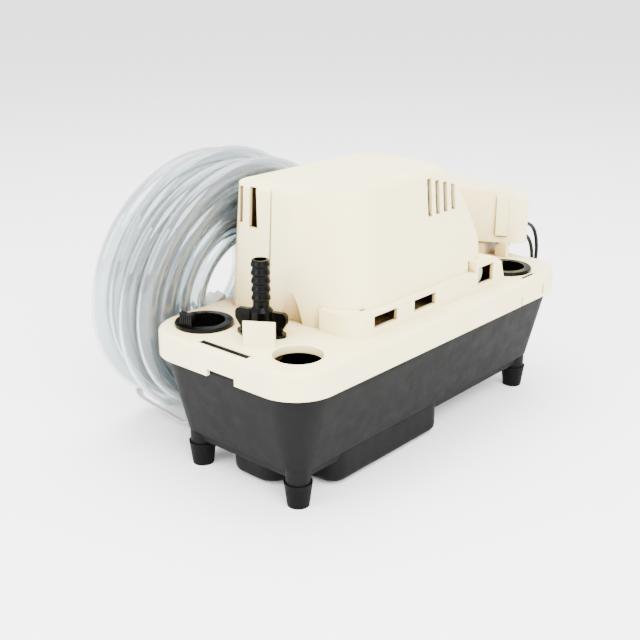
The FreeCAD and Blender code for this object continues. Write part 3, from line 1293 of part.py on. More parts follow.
coil_front = bobbin_in_x - coil_build
coil_rear = bobbin_out_x + coil_build
across(bobbin, wrap(bobbin_in_x, bobbin_out_x, bobbin_low, bobbin_high), -coil_half, coil_half)
for near, far in ((-coil_half, bobbin_wall - coil_half), (coil_half - bobbin_wall, coil_half)):
    across(bobbin, wrap(coil_front - bobbin_wall / 2, coil_rear + bobbin_wall / 2, flange_low, flange_high), near, far)
across(bobbin, wrap(leg_front, stack_rear, stack_bottom, stack_top), -coil_half, coil_half, True)
bobbin.place(motor_x)
winding = Piece("stator_winding")
winding_round = coil_build / 3
across(winding, [(coil_front, flange_low, winding_round), (coil_rear, flange_low, winding_round),
                 (coil_rear, flange_high, winding_round), (coil_front, flange_high, winding_round)],
       bobbin_wall - coil_half, coil_half - bobbin_wall)
across(winding, wrap(bobbin_in_x, bobbin_out_x, bobbin_low, bobbin_high), bobbin_wall - coil_half, coil_half - bobbin_wall, True)
winding.place(motor_x)


def bracket(label, bearing_label, face, side, gap):
    """A bridge bracket with a bearing cup, standing off the stack on its four legs."""
    level = face + gap * side
    low, high = (level, level + bracket_thickness) if side > 0 else (level - bracket_thickness, level)
    half = bolt_reach + bolt_head_radius * 1.3
    piece = Piece(label)
    piece.pad([rectangle(-half, half, -half, half, bracket_thickness * 2)], low=low, high=high)
    for sx in (-1, 1):
        cut_near = bolt_reach - bolt_head_radius * 1.3
        cut_x = (bracket_width / 2, half * 1.5) if sx > 0 else (half * -1.5, -bracket_width / 2)
        piece.pocket([rectangle(cut_x[0], cut_x[1], -cut_near, cut_near)], low=low, high=high)
    leg_low, leg_high = (face, level) if side > 0 else (level, face)
    piece.pad(circles=[(bolt_reach * sx, bolt_reach * sy, bolt_head_radius) for sx, sy in BOLTS], low=leg_low, high=leg_high)
    bearing_low = (low + high) / 2 - bearing_height / 2
    bearing_high = bearing_low + bearing_height
    piece.pad(circles=[(0, 0, bearing_radius + bracket_thickness)], low=bearing_low, high=bearing_high)
    piece.pocket(circles=[(0, 0, bearing_radius)], low=bearing_low, high=bearing_high)
    piece.pocket(circles=[(bolt_reach * sx, bolt_reach * sy, bolt_radius * 1.06) for sx, sy in BOLTS], low=leg_low - bracket_thickness,
                 high=leg_high + bracket_thickness)
    piece.place(motor_x)
    bush = Piece(bearing_label)
    bush.pad(circles=[(0, 0, bearing_radius)], low=bearing_low, high=bearing_high)
    bush.pocket(circles=[(0, 0, shaft_radius + running_gap)], low=bearing_low, high=bearing_high)
    bush.place(motor_x)


bracket("lower_bracket", "lower_bearing", stack_bottom, -1, bracket_gap)
bracket("upper_bracket", "upper_bearing", stack_top, 1, bracket_gap)
bolt_low = deck_top + lid_wall
bolt_top = stack_top + bracket_gap + bracket_thickness
bolts = Piece("motor_bolts")
bolts.body.Label = "motor_bolt_first"
bolt_list = []
for index, (sx, sy) in enumerate(BOLTS):
    x = motor_x + bolt_reach * sx
    y = bolt_reach * sy
    bolt_list.append(boolean("MultiFuse", "motor_bolt_%d" % index, [
        cylinder("bolt_rod_%d" % index, bolt_radius, bolt_low, bolt_top, x, y),
        cylinder("bolt_head_%d" % index, bolt_head_radius, bolt_top, bolt_top + bolt_head_height, x, y)]))
doc.removeObject(bolts.body.Name)
doc.recompute()
group = doc.addObject("Part::Compound", "motor_bolt_group")
group.Links = bolt_list
finish("motor_bolts", group)
fan = Piece("cooling_fan")
fan_top = fan_bottom + fan_height
fan.pad(circles=[(0, 0, fan_radius)], low=fan_bottom, high=fan_bottom + fan_disc)
fan.pad(circles=[(0, 0, fan_hub)], low=fan_bottom, high=fan_top)
fan_blade = fan.pad([rectangle(fan_hub / 2, fan_radius - fan_disc / 2, -fan_blade_thickness / 2, fan_blade_thickness / 2)],
                    low=fan_bottom, high=fan_top)
fan.pattern(fan_blade, fan_blades)
fan.pocket(circles=[(0, 0, shaft_radius)], low=fan_bottom, high=fan_top)
fan.place(motor_x)

# Float, its rod and guide, the switch lever with its cam, and the two switches on their plate.
float_piece = Piece("float")
float_top = float_bottom + float_height
float_piece.pad([rectangle(float_front, float_rear, -(float_width / 2), float_width / 2, float_corner)],
                low=float_bottom, high=float_top)
float_piece.pocket(circles=[(rod_x, rod_y, rod_radius)], low=float_top - float_height / 2, high=float_top)
rod = Piece("float_rod")
rod.pad(circles=[(0, 0, rod_radius)], low=float_top - float_height / 2, high=rod_top)
rod.place(rod_x, rod_y)
guide = Piece("rod_guide")
guide.pad(circles=[(0, 0, guide_radius)], low=deck_top - guide_height, high=deck_top)
guide.pad(circles=[(0, 0, guide_flange)], low=deck_top, high=deck_top + lid_wall / 2)
guide.pocket(circles=[(0, 0, rod_radius + running_gap)], low=deck_top - guide_height, high=deck_top + lid_wall / 2)
guide.place(rod_x, rod_y)
lever = Piece("switch_lever")
pin_near = cam_y - cam_thickness
across_pin = lever.sketch(circles=[(lever_x, lever_z, lever_pin_radius)], role="XZ_Plane", height=-(rod_y + lever_width / 2))
lever.feature("Pad", across_pin, rod_y + lever_width / 2 - cam_y)
cam_sketch = lever.sketch(circles=[(lever_x, lever_z, cam_radius)], role="XZ_Plane", height=-cam_y)
lever.feature("Pad", cam_sketch, cam_thickness)
across(lever, [(lever_x, lever_z - lever_thickness / 2, 0), (lever_x + lever_reach, lever_z - lever_thickness / 2, 0),
               (lever_x + lever_reach, lever_z + lever_thickness / 2, 0), (lever_x, lever_z + lever_thickness / 2, 0)],
       rod_y - lever_width / 2, rod_y + lever_width / 2)
plate = Piece("switch_plate")
across(plate, [(plate_front, deck_top, 0), (plate_rear, deck_top, 0), (plate_rear, plate_top, 0), (plate_front, plate_top, 0)],
       plate_y, plate_y + plate_thickness)
plate.pad([rectangle(plate_front, plate_front + plate_foot_length, plate_y - plate_foot, plate_y + plate_thickness)],
          low=deck_top, high=deck_top + plate_thickness)
switch_near = plate_y - switch_width
SCREW_PLACES = (0.18, 0.82)
SWITCHES = [("run_switch", "run_plunger", run_switch_x, run_switch_bottom, run_plunger_place),
            ("safety_switch", "safety_plunger", safety_switch_x, safety_switch_bottom, safety_plunger_place)]
screw_items = []
for label, plunger_label, x, low, plunger_place in SWITCHES:
    top = low + switch_height
    screw_level = top - lid_wall
    piece = Piece(label)
    across(piece, wrap(x, x + switch_length, low, top), switch_near, plate_y)
    place_x = x + plunger_place
    middle = (switch_near + plate_y) / 2
    well = plunger_reach + plunger_travel
    wall = plunger_size / 2 + running_gap
    piece.pocket([rectangle(place_x - wall, place_x + wall, middle - wall, middle + wall)], low=low, high=low + well)
    button = Piece(plunger_label)
    half = plunger_size / 2
    button.pad([rectangle(place_x - half, place_x + half, middle - half, middle + half)],
               low=low - plunger_reach, high=low + well - plunger_travel - running_gap)
    hole_spots = [(x + switch_length * share, screw_level, switch_screw_radius) for share in SCREW_PLACES]
    piece.feature("Pocket", piece.sketch(circles=hole_spots, role="XZ_Plane", height=-switch_near), switch_width * 2, False)
    plate.feature("Pocket", plate.sketch(circles=hole_spots, role="XZ_Plane", height=-switch_near), switch_width * 2, False)
    for hole_x, level, radius in hole_spots:
        name = "switch_screw_%d" % len(screw_items)
        head = primitive("Cylinder", name + "_head", {"Radius": switch_screw_radius * 1.8, "Height": switch_screw_radius * 0.6},
                         hole_x, switch_near, level, Vector(1, 0, 0), 90)
        shank = primitive("Cylinder", name + "_shank", {"Radius": radius, "Height": switch_width + plate_thickness},
                          hole_x, plate_y + plate_thickness, level, Vector(1, 0, 0), 90)
        screw_items.append(boolean("MultiFuse", name, [head, shank]))
doc.recompute()
group = doc.addObject("Part::Compound", "switch_screw_group")
group.Links = screw_items
finish("switch_screws", group)

# Lead grommet in the rear wall and the hollow cord gland in the far wall.
grommet = Piece("lead_grommet")
lead_radius = lead_diameter / 2
grommet.pad([rectangle(hood_rear_x - hood_wall, hood_rear_x, lead_y - grommet_half, lead_y + grommet_half,
                       0)], low=lead_low - grommet_half, high=lead_high + grommet_half)
gland = Piece("cord_gland")
gland_ring = gland.sketch(circles=[(gland_x, gland_z, gland_radius - cup_gap * 8)], role="XZ_Plane", height=-hood_far_y)
gland.feature("Pad", gland_ring, hood_wall)
gland_ring = gland.sketch(circles=[(gland_x, gland_z, gland_radius)], role="XZ_Plane", height=-(hood_far_y + gland_length))
gland.feature("Pad", gland_ring, gland_length)
gland_ring = gland.sketch(circles=[(gland_x, gland_z, gland_bore)], role="XZ_Plane", height=-(hood_far_y + gland_length))
gland.feature("Pocket", gland_ring, gland_length + hood_wall * 2, True)

# Free leads: two black wires from the grommet, down behind the tank and along the floor.
floor_gap = size("floor_gap", 0.3)
lead_rest = lead_diameter.value / 2 + floor_gap.value


def exit_point(level):
    """Where a lead leaves the rear wall."""
    return Vector(hood_rear_x.value, lead_y.value, level.value)


HIGH_ROUTE = [exit_point(lead_high), Vector(153.5, -25.6, 112.2), Vector(158.5, -29.0, 96.0), Vector(157.5, -28.0, 72.0),
              Vector(155.8, -18.0, 44.0), Vector(156.5, -2.0, 20.0), Vector(157.4, 16.0, lead_rest + 2.0),
              Vector(157.6, 40.0, lead_rest), Vector(157.6, 66.0, lead_rest), Vector(157.2, 91.0, lead_rest)]
LOW_ROUTE = [exit_point(lead_low), Vector(150.2, -25.4, 102.6), Vector(154.0, -28.0, 89.0), Vector(152.0, -28.0, 66.0),
             Vector(150.0, -19.0, 42.0), Vector(150.6, -4.0, 21.0), Vector(152.0, 12.0, lead_rest + 2.0),
             Vector(153.0, 32.0, lead_rest), Vector(153.15, 51.0, lead_rest)]


def fair_radii(points):
    """Arc radius at each inner point, as large as its two runs allow."""
    radii = []
    for index in range(1, len(points) - 1):
        before = points[index] - points[index - 1]
        after = points[index + 1] - points[index]
        turn = before.getAngle(after)
        radii.append(0.45 * min(before.Length, after.Length) / math.tan(turn / 2))
    return radii


def biarc(start, start_way, end, end_way):
    """Two tangent arcs that join two points with given directions."""
    span = end - start
    total = start_way + end_way
    share = 2 * (1 - start_way.dot(end_way))
    drive = span.dot(total)
    if abs(share) < 1e-9:
        reach = span.dot(span) / (4 * span.dot(end_way))
    else:
        reach = (-drive + math.sqrt(drive * drive + share * span.dot(span))) / share
    first = start + start_way * reach
    second = end - end_way * reach
    joint = (first + second) * 0.5

    def arc(a, control, b):
        weight = (b - a).Length / (2 * reach)
        crown = (a + control * (2 * weight) + b) * (1 / (2 + 2 * weight))
        return Part.Arc(a, crown, b).toShape()

    return [arc(start, first, joint), arc(joint, second, end)]


def coil_path(outer, pitch, turns, layers, lift):
    """Points and directions of piled loops: in and out in turn, a layer climbed where it reverses."""
    steps = turns * 4
    spots = []
    angle = 0.0
    for layer in range(layers):
        inward = layer % 2 == 0
        for step in range(steps + 1):
            if layer and step == 0:
                continue
            share = step / steps
            drawn = share if inward else 1 - share
            spots.append((angle + step * math.pi / 2, outer - pitch * turns * drawn, layer, step))
        angle += steps * math.pi / 2
    result = []
    for turn, radius, layer, step in spots:
        level = float(layer)
        if step == steps and layer < layers - 1:
            level = layer + 0.5
        result.append((turn, radius, level * lift))
    return result


def coil_edges(spots, frame):
    """Biarc edges through the spots of a coil, placed by a frame of centre, across, up and normal."""
    centre, across_way, up_way, normal = frame

    def place(turn, radius, level):
        return centre + across_way * (radius * math.cos(turn)) + up_way * (radius * math.sin(turn)) + normal * level

    points = [place(*spot) for spot in spots]
    ways = []
    count = len(spots)
    for index, (turn, radius, level) in enumerate(spots):
        low = max(0, index - 1)
        high = min(count - 1, index + 1)
        span = spots[high][0] - spots[low][0]
        grow = (spots[high][1] - spots[low][1]) / span
        climb = (spots[high][2] - spots[low][2]) / span
        radial = across_way * math.cos(turn) + up_way * math.sin(turn)
        round_way = up_way * math.cos(turn) - across_way * math.sin(turn)
        ways.append((round_way * radius + radial * grow + normal * climb).normalize())
    edges = []
    for index in range(count - 1):
        edges += biarc(points[index], ways[index], points[index + 1], ways[index + 1])
    return edges, points, ways


def least_gap(wire, diameter, step):
    """Least gap between stretches of a wire that are not neighbours, measured on points."""
    points = wire.discretize(Distance=step)
    skip = int(diameter * 2.2 / step) + 2
    cells = {}
    for index, point in enumerate(points):
        cells.setdefault((int(point.x // diameter), int(point.y // diameter), int(point.z // diameter)), []).append(index)
    least = 1e9
    for (cx, cy, cz), members in cells.items():
        near = []
        for dx in (-1, 0, 1):
            for dy in (-1, 0, 1):
                for dz in (-1, 0, 1):
                    near += cells.get((cx + dx, cy + dy, cz + dz), [])
        for first in members:
            for second in near:
                if second - first > skip:
                    least = min(least, (points[first] - points[second]).Length)
    return least - diameter


hose_radius = hose_diameter / 2
lean = math.radians(hose_lean.value)
half_stack = ((hose_layers - 1) * hose_pitch.value + hose_diameter.value) / 2
outside = hose_outer.value + hose_radius.value
hose_across = Vector(1, 0, 0)
hose_up = Vector(0, -math.sin(lean), math.cos(lean))
hose_normal = Vector(0, math.cos(lean), math.sin(lean))
centre_z = outside * math.cos(lean) + half_stack * math.sin(lean) + floor_gap.value - hose_settle.value
near_reach = (deck_top.value - centre_z) * math.tan(lean) + half_stack / math.cos(lean)
hose_y = half_width.value + hose_stand_off.value + near_reach
hose_centre = Vector(hose_x.value, hose_y, centre_z)
hose_spots = coil_path(hose_outer.value, hose_pitch.value, hose_turns, hose_layers, hose_pitch.value)
hose_start = math.radians(-38.0)
hose_spots = [(turn + hose_start, radius, level) for turn, radius, level in hose_spots]
hose_base = hose_centre - hose_normal * (hose_pitch.value * (hose_layers - 1) / 2)
hose_frame = (hose_base, hose_across, hose_up, hose_normal)


def tube_with_ends(edges, points, ways, diameter):
    """A wire with a straight run of one diameter at each end."""
    lead_in = Part.LineSegment(points[0] - ways[0] * diameter, points[0]).toShape()
    lead_out = Part.LineSegment(points[-1], points[-1] + ways[-1] * diameter).toShape()
    return Part.Wire([lead_in] + edges + [lead_out])


edges, points, ways = coil_edges(hose_spots, hose_frame)
hose_wire = tube_with_ends(edges, points, ways, hose_diameter.value)
hose_solid = swept(hose_wire, hose_radius.value)
own_shape("hose_coil", hose_solid)
print("hose length", hose_wire.Length, "valid", hose_solid.isValid(), "volume ratio",
      hose_solid.Volume / (math.pi * hose_radius.value ** 2 * hose_wire.Length), hose_solid.BoundBox)
print("hose gap", least_gap(hose_wire, hose_diameter.value, 3.0))


def tie_band(turn, layers, turns, outer, pitch, diameter, frame, width, thickness):
    """A strap round the whole section of a coil at one angle."""
    centre, across_way, up_way, normal = frame
    radial = across_way * math.cos(turn) + up_way * math.sin(turn)
    round_way = up_way * math.cos(turn) - across_way * math.sin(turn)
    inner_edge = outer - pitch * turns - diameter / 2 - pitch * 0.12
    outer_edge = outer + diameter / 2 + pitch * 0.12
    rise = (layers - 1) * pitch + diameter / 2 + pitch * 0.12
    fall = diameter / 2 + pitch * 0.12

    def slab(grow, wide):
        corners = [(inner_edge - grow, -fall - grow), (outer_edge + grow, -fall - grow),
                   (outer_edge + grow, rise + grow), (inner_edge - grow, rise + grow)]
        start = [centre + radial * r + normal * n - round_way * (wide / 2) for r, n in corners]
        face = Part.Face(Part.makePolygon(start + [start[0]]))
        return face.extrude(round_way * wide)

    return slab(thickness, width).cut(slab(0, width * 2))


for label, degrees in (("hose_tie_rear", -62.0), ("hose_tie_front", -118.0)):
    own_shape(label, tie_band(math.radians(degrees), hose_layers, hose_turns, hose_outer.value, hose_pitch.value,
                              hose_diameter.value, hose_frame, tie_width.value, tie_thickness.value))

# Put-away coils of the two leads on the floor behind the pump, each with its tie.
lead_pitch = lead_diameter.value + 0.55
lead_turns = 3
lead_layers = 2
lead_outer = 11.4 + lead_pitch * lead_turns
coil_rest = lead_rest + tie_room.value
LEADS = [("lead_high", HIGH_ROUTE, Vector(132.0, 118.0, coil_rest)), ("lead_low", LOW_ROUTE, Vector(132.0, 72.0, coil_rest))]
for label, route, centre in LEADS:
    frame = (centre, Vector(1, 0, 0), Vector(0, 1, 0), Vector(0, 0, 1))
    spots = coil_path(lead_outer, lead_pitch, lead_turns, lead_layers, lead_pitch)
    edges, points, ways = coil_edges(spots, frame)
    coil_wire = tube_with_ends(edges, points, ways, lead_diameter.value)
    coil_solid = swept(coil_wire, lead_radius.value)
    own_shape(label + "_coil", coil_solid)
    route = route + [points[0] - ways[0] * lead_diameter.value]
    radii = fair_radii(route)
    lead_wire = routed_wire(route, radii)
    lead_solid = swept(lead_wire, lead_radius.value)
    own_shape(label, lead_solid)
    own_shape(label + "_tie", tie_band(math.radians(140.0), lead_layers, lead_turns, lead_outer, lead_pitch,
                                       lead_diameter.value, frame, 3.0, 0.5 * lead_radius.value))
    print(label, "radii", [round(value, 1) for value in radii], "runs",
          [round((b - a).Length, 1) for a, b in zip(route, route[1:])])
    print(label, "length", lead_wire.Length, "coil length", coil_wire.Length, "gap",
          least_gap(coil_wire, lead_diameter.value, 0.8))

# Holes in the grommet for the two leads.
grommet.body.Label = "grommet_block"
bores = [primitive("Cylinder", "grommet_bore_%d" % index, {"Radius": lead_radius, "Height": hood_wall * 3},
                   hood_rear_x - hood_wall * 2, lead_y, level, Vector(0, 1, 0), 90)
         for index, level in enumerate((lead_high, lead_low))]
grommet_bores = boolean("MultiFuse", "grommet_bores", bores)
finish("lead_grommet", boolean("Cut", "lead_grommet_body", [grommet.body, grommet_bores]))
doc.recompute()

# Every object is checked before anything is written.
for item in doc.Objects:
    if "Invalid" in item.State or "Error" in item.State:
        raise ValueError("%s is not sound: %s" % (item.Label, item.State))
for label, item in FINISHED.items():
    shape = item.Shape
    if shape.isNull() or not shape.isValid() or not shape.Solids:
        raise ValueError("%s has no sound shape" % label)
os.makedirs("parts", exist_ok=True)
for label, item in FINISHED.items():
    item.Shape.exportStep("parts/%s.step" % label)
    print(label, len(item.Shape.Solids), round(item.Shape.Volume, 1))
print(len(FINISHED), "sub-parts written")
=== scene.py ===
# %% [markdown]
# A condensate pump, dressed in Blender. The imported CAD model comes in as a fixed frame: every
# solid is already where it belongs, in metres. This script gives those solids their real
# finishes, and builds the pieces that a CAD solid cannot show: the clear hose with its ties, the
# two soft leads and the fine repeated detail.

# %% The frame
import json
import math
import bpy
from mathutils import Matrix, Vector


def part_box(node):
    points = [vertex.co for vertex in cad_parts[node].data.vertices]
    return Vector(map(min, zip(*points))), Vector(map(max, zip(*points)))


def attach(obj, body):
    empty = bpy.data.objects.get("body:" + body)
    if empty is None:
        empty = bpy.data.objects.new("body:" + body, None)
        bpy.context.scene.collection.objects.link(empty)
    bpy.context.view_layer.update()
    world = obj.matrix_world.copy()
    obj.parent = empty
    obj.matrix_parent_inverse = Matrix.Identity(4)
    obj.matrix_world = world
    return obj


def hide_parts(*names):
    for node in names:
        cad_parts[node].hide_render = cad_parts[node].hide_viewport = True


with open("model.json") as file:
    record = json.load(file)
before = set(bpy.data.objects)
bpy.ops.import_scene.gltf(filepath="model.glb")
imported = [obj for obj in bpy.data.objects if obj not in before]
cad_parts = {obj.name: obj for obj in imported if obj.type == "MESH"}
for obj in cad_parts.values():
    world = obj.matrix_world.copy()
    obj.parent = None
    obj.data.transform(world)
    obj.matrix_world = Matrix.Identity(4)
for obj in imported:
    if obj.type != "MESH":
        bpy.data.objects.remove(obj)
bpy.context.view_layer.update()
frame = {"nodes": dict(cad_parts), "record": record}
nodes = frame["nodes"]

# %% [markdown]
# Two small tools for objects: one makes an object and links it into the scene, the other stands
# a camera or a lamp at a spot and turns it to look at another.


# %% Tools for objects
def enter(name, data):
    """A new object with this data, linked into the scene."""
    made = bpy.data.objects.new(name, data)
    bpy.context.scene.collection.objects.link(made)
    return made


def aim(thing, spot, target):
    """Stands a camera or a lamp at a spot, looking at the target."""
    thing.location = spot
    thing.rotation_mode = "QUATERNION"
    thing.rotation_quaternion = (Vector(target) - Vector(spot)).to_track_quat("-Z", "Y")


# %% [markdown]
# The camera was worked out from the photograph. The pump is a box of known size, so its corners
# fix where the lens stood: low, in front of the valve end, with a short telephoto lens.

# %% The camera
EYE = Vector((-0.4908, -0.3858, 0.2963))
AIM = Vector((-0.0516, 0.0, 0.0850))
camera_data = bpy.data.cameras.new("photo_camera")
camera_data.lens = 57.11
camera_data.sensor_width = 36.0
camera = enter("photo_camera", camera_data)
aim(camera, EYE, AIM)
bpy.context.scene.camera = camera
print("camera", round((AIM - EYE).length, 3), "m away, lens", round(camera_data.lens, 2), "mm")

# %% [markdown]
# Small tools used all the way down. A finish is built from nodes, and one function adds any
# node, sets it and links it. Colours are written as sRGB hex, the way a paint chart gives them,
# and turned to linear light by one function. Pattern sizes are given in real millimetres.


# %% Tools for finishes
def linear(code, alpha=1.0):
    """An sRGB hex colour as linear light."""
    parts = [int(code[i:i + 2], 16) / 255 for i in (1, 3, 5)]
    return tuple(p / 12.92 if p <= 0.04045 else ((p + 0.055) / 1.055) ** 2.4 for p in parts) + (alpha,)


def add(tree, kind, links=None, **settings):
    """Adds a node. A setting is one of its options or sockets; a link names a socket and its source."""
    made = tree.nodes.new(kind)
    for key, value in settings.items():
        if hasattr(made, key):
            setattr(made, key, value)
        else:
            made.inputs[key.replace("_", " ")].default_value = value
    for socket, source in (links or {}).items():
        tree.links.new(source, made.inputs[socket])
    return made


def per_mm(size):
    """The scale of a pattern on object coordinates, from its real size in millimetres."""
    return 1000.0 / size


def blank(name):
    """A new material with an empty node tree."""
    made = bpy.data.materials.new(name)
    made.use_nodes = True
    made.node_tree.nodes.clear()
    return made, made.node_tree


def two_tone(tree, share, light, dark):
    """A colour that goes from light to dark as its share goes from 0 to 1."""
    tint = add(tree, "ShaderNodeMix", {"Factor": share}, data_type="RGBA")
    tint.inputs["A"].default_value = linear(light)
    tint.inputs["B"].default_value = linear(dark)
    return tint.outputs[2]


def spread(tree, share, low, high, middle=(0.3, 0.7)):
    """A value from low to high over the middle of a noise, where most of its values lie."""
    made = add(tree, "ShaderNodeMapRange", {"Value": share},
               From_Min=middle[0], From_Max=middle[1], To_Min=low, To_Max=high)
    return made.outputs["Result"]


def surface(tree, links=None, **settings):
    """Ends a material with a principled shader and its output."""
    shade = add(tree, "ShaderNodeBsdfPrincipled", links, **settings)
    add(tree, "ShaderNodeOutputMaterial", {"Surface": shade.outputs["BSDF"]})


# %% [markdown]
# Most of the pump is injection moulded. A mould is spark-eroded to a fine even grain, its sharp
# corners come out slightly round, and the resin is never one flat colour across a big wall. So
# one function makes every moulded finish: two close colours drifting over some centimetres, a
# grain of the mould's own size, a gloss that drifts with it, and a small radius on every edge.
# Shade is also painted into the colour of recesses: the cream finish is multiplied by a tint that
# follows how open each spot is, turning amber and then near black with depth.

# %% Moulded plastic
# Painted shade: stops of openness, from closed to open, and the colour multiplied in at each.
PAINTED_RECESS_SHADE = [(0.03, "#0D0803"), (0.10, "#2E1A07"), (0.20, "#85551C"), (0.31, "#D4BC90"), (0.44, "#FFFFFF")]
DRIFT_MM, SMEAR_MM = 45.0, 9.0
GLOW_DEPTH, GLOW_COLOUR = 0.004, (1.0, 0.8, 0.5)


def painted_shade_tint(tree, here_open):
    """Painted shade: a tint that goes from amber to near black where little of the room reaches a wall."""
    tint = add(tree, "ShaderNodeValToRGB", {"Fac": here_open})
    ramp = tint.color_ramp
    while len(ramp.elements) < len(PAINTED_RECESS_SHADE):
        ramp.elements.new(0.5)
    for element, (spot, code) in zip(ramp.elements, PAINTED_RECESS_SHADE):
        element.position = spot
        element.color = linear(code)
    return tint.outputs["Color"]


def moulded(name, light, dark, rough, grain, depth, edge=0.5, glow=0.0, ior=1.53, painted_shade_reach=0.0, shine=0.5):
    """A moulded finish. Grain, depth of grain and edge are in millimetres. Glow is how much light
    the resin lets through, shine scales its reflection, and the reach of the painted recess shade is in metres."""
    made, tree = blank(name)
    here = add(tree, "ShaderNodeTexCoord").outputs["Object"]
    drift = add(tree, "ShaderNodeTexNoise", {"Vector": here}, Scale=per_mm(DRIFT_MM), Detail=3.0, Roughness=0.6)
    speck = add(tree, "ShaderNodeTexNoise", {"Vector": here}, Scale=per_mm(grain), Detail=2.0, Roughness=0.55)
    smear = add(tree, "ShaderNodeTexNoise", {"Vector": here}, Scale=per_mm(SMEAR_MM), Detail=4.0, Roughness=0.65)
    colour = two_tone(tree, drift.outputs["Fac"], light, dark)
    # Painted shade: the colour is multiplied by an amber-to-black tint where walls close in on a spot.
    if painted_shade_reach:
        around = add(tree, "ShaderNodeAmbientOcclusion", samples=8, Distance=painted_shade_reach)
        blend = add(tree, "ShaderNodeMix", {"A": colour, "B": painted_shade_tint(tree, around.outputs["AO"])},
                    data_type="RGBA", blend_type="MULTIPLY")
        blend.inputs["Factor"].default_value = 1.0
        colour = blend.outputs[2]
    corner = add(tree, "ShaderNodeBevel", samples=4, Radius=edge / 1000)
    skin = add(tree, "ShaderNodeBump", {"Height": speck.outputs["Fac"], "Normal": corner.outputs["Normal"]},
               Strength=1.0, Distance=depth / 1000)
    surface(tree, {"Base Color": colour, "Normal": skin.outputs["Normal"],
                   "Roughness": spread(tree, smear.outputs["Fac"], rough - 0.05, rough + 0.06)},
            IOR=ior, Specular_IOR_Level=shine, Subsurface_Weight=glow, Subsurface_Scale=GLOW_DEPTH,
            Subsurface_Radius=GLOW_COLOUR)
    return made


# Cream ABS: satin and a little translucent; painted shade turns its recesses and slots amber to near black.
cream_abs = moulded("cream_abs_satin", "#F7EBB9", "#F3E4AC", rough=0.38, grain=0.7, depth=0.010, edge=0.9,
                    glow=0.06, painted_shade_reach=0.08, shine=0.35)
# Charcoal ABS of the tank: the same resin with carbon black, with a coarser grain and little shine.
charcoal_abs = moulded("charcoal_abs_grained", "#0F0F0F", "#0B0B0B", rough=0.58, grain=0.9, depth=0.022,
                       edge=0.7, shine=0.07)
# Glass-filled nylon of the valve, plugs and switches: black, with a tight but weak reflection.
black_nylon = moulded("black_nylon_gloss", "#020202", "#040404", rough=0.22, grain=0.8, depth=0.006, edge=0.4,
                      shine=0.07)
# Natural nylon of the fan, impeller, poppet, rod guide and bobbin: milky and slightly yellow.
natural_nylon = moulded("natural_nylon", "#E6E3D6", "#DCD8C8", rough=0.38, grain=0.8, depth=0.008, edge=0.3,
                        glow=0.2)
# Acetal of the switch lever and its cam: pale with a green cast.
pale_acetal = moulded("pale_acetal", "#CFD6C2", "#C4CCB6", rough=0.35, grain=0.8, depth=0.006, edge=0.3,
                      glow=0.15)
# Polypropylene of the pump end: waxy mid grey.
grey_polypropylene = moulded("grey_polypropylene", "#6C6F74", "#63666B", rough=0.45, grain=1.2, depth=0.012,
                             edge=0.4)
# Red thermoplastic of the switch plungers.
red_plunger = moulded("red_plunger_plastic", "#9A2A22", "#8C241E", rough=0.35, grain=0.8, depth=0.005, edge=0.2)
# Cord gland: black nylon, duller than the valve.
gland_nylon = moulded("gland_nylon_satin", "#18181A", "#141416", rough=0.40, grain=0.8, depth=0.010, edge=0.3)
# Expanded float: a skin of small beads about 3 mm across.
float_foam = moulded("moulded_bead_foam", "#E4E3DC", "#DBD9D0", rough=0.72, grain=3.0, depth=0.15, edge=1.5,
                     glow=0.1)
print("moulded finishes", len(bpy.data.materials))

# %% [markdown]
# Rubber is duller than plastic and picks up dust. Its grain is broader, and it is black with a
# trace of blue in it, never a pure black.

# %% Rubber
foot_rubber = moulded("moulded_rubber_matte", "#060607", "#040405", rough=0.60, grain=1.4, depth=0.030, edge=0.6,
                      ior=1.50, shine=0.07)
seal_rubber = moulded("seal_rubber_dark", "#1B1B1C", "#222223", rough=0.62, grain=1.2, depth=0.015, edge=0.3,
                      ior=1.50)
for made in (foot_rubber, seal_rubber):
    print("rubber", made.name)

# %% [markdown]
# Metals keep the default index of refraction and get their look from roughness. Ground and
# plated steels differ in direction: a shaft is turned, so its scratches run round it, while zinc
# plating has soft blotches. The laminations of a motor are punched sheets with a blued surface.


# %% Metals
def metal(name, light, dark, rough, patch, scratch, stretch=(1.0, 1.0, 1.0), edge=0.25):
    """A bare metal. Patch, scratch and edge are in millimetres; stretch packs scratches along an axis."""
    made, tree = blank(name)
    here = add(tree, "ShaderNodeTexCoord").outputs["Object"]
    lay = add(tree, "ShaderNodeMapping", {"Vector": here}, Scale=stretch)
    blotch = add(tree, "ShaderNodeTexNoise", {"Vector": here}, Scale=per_mm(patch), Detail=4.0)
    lines = add(tree, "ShaderNodeTexNoise", {"Vector": lay.outputs["Vector"]}, Scale=per_mm(scratch), Detail=3.0)
    corner = add(tree, "ShaderNodeBevel", samples=4, Radius=edge / 1000)
    skin = add(tree, "ShaderNodeBump", {"Height": lines.outputs["Fac"], "Normal": corner.outputs["Normal"]},
               Strength=0.6, Distance=0.00001)
    surface(tree, {"Base Color": two_tone(tree, blotch.outputs["Fac"], light, dark),
                   "Roughness": spread(tree, blotch.outputs["Fac"], rough - 0.07, rough + 0.08),
                   "Normal": skin.outputs["Normal"]}, Metallic=1.0)
    return made


stainless = metal("ground_stainless_steel", "#C9C9C6", "#BDBDBA", rough=0.24, patch=12.0, scratch=0.4,
                  stretch=(1.0, 1.0, 6.0))
zinc_steel = metal("zinc_plated_steel", "#C6C8C8", "#B4B7B6", rough=0.34, patch=5.0, scratch=0.8)
lamination_steel = metal("blued_lamination_steel", "#6F7174", "#5E6166", rough=0.45, patch=8.0, scratch=0.5,
                         stretch=(1.0, 1.0, 12.0))
sintered_bronze = metal("sintered_bronze", "#B08A56", "#9E7A49", rough=0.50, patch=1.5, scratch=0.3)
tinned_copper = metal("tinned_copper_strand", "#C4A58C", "#B7B2AA", rough=0.30, patch=1.0, scratch=0.2)
print("finishes with the metals", len(bpy.data.materials))

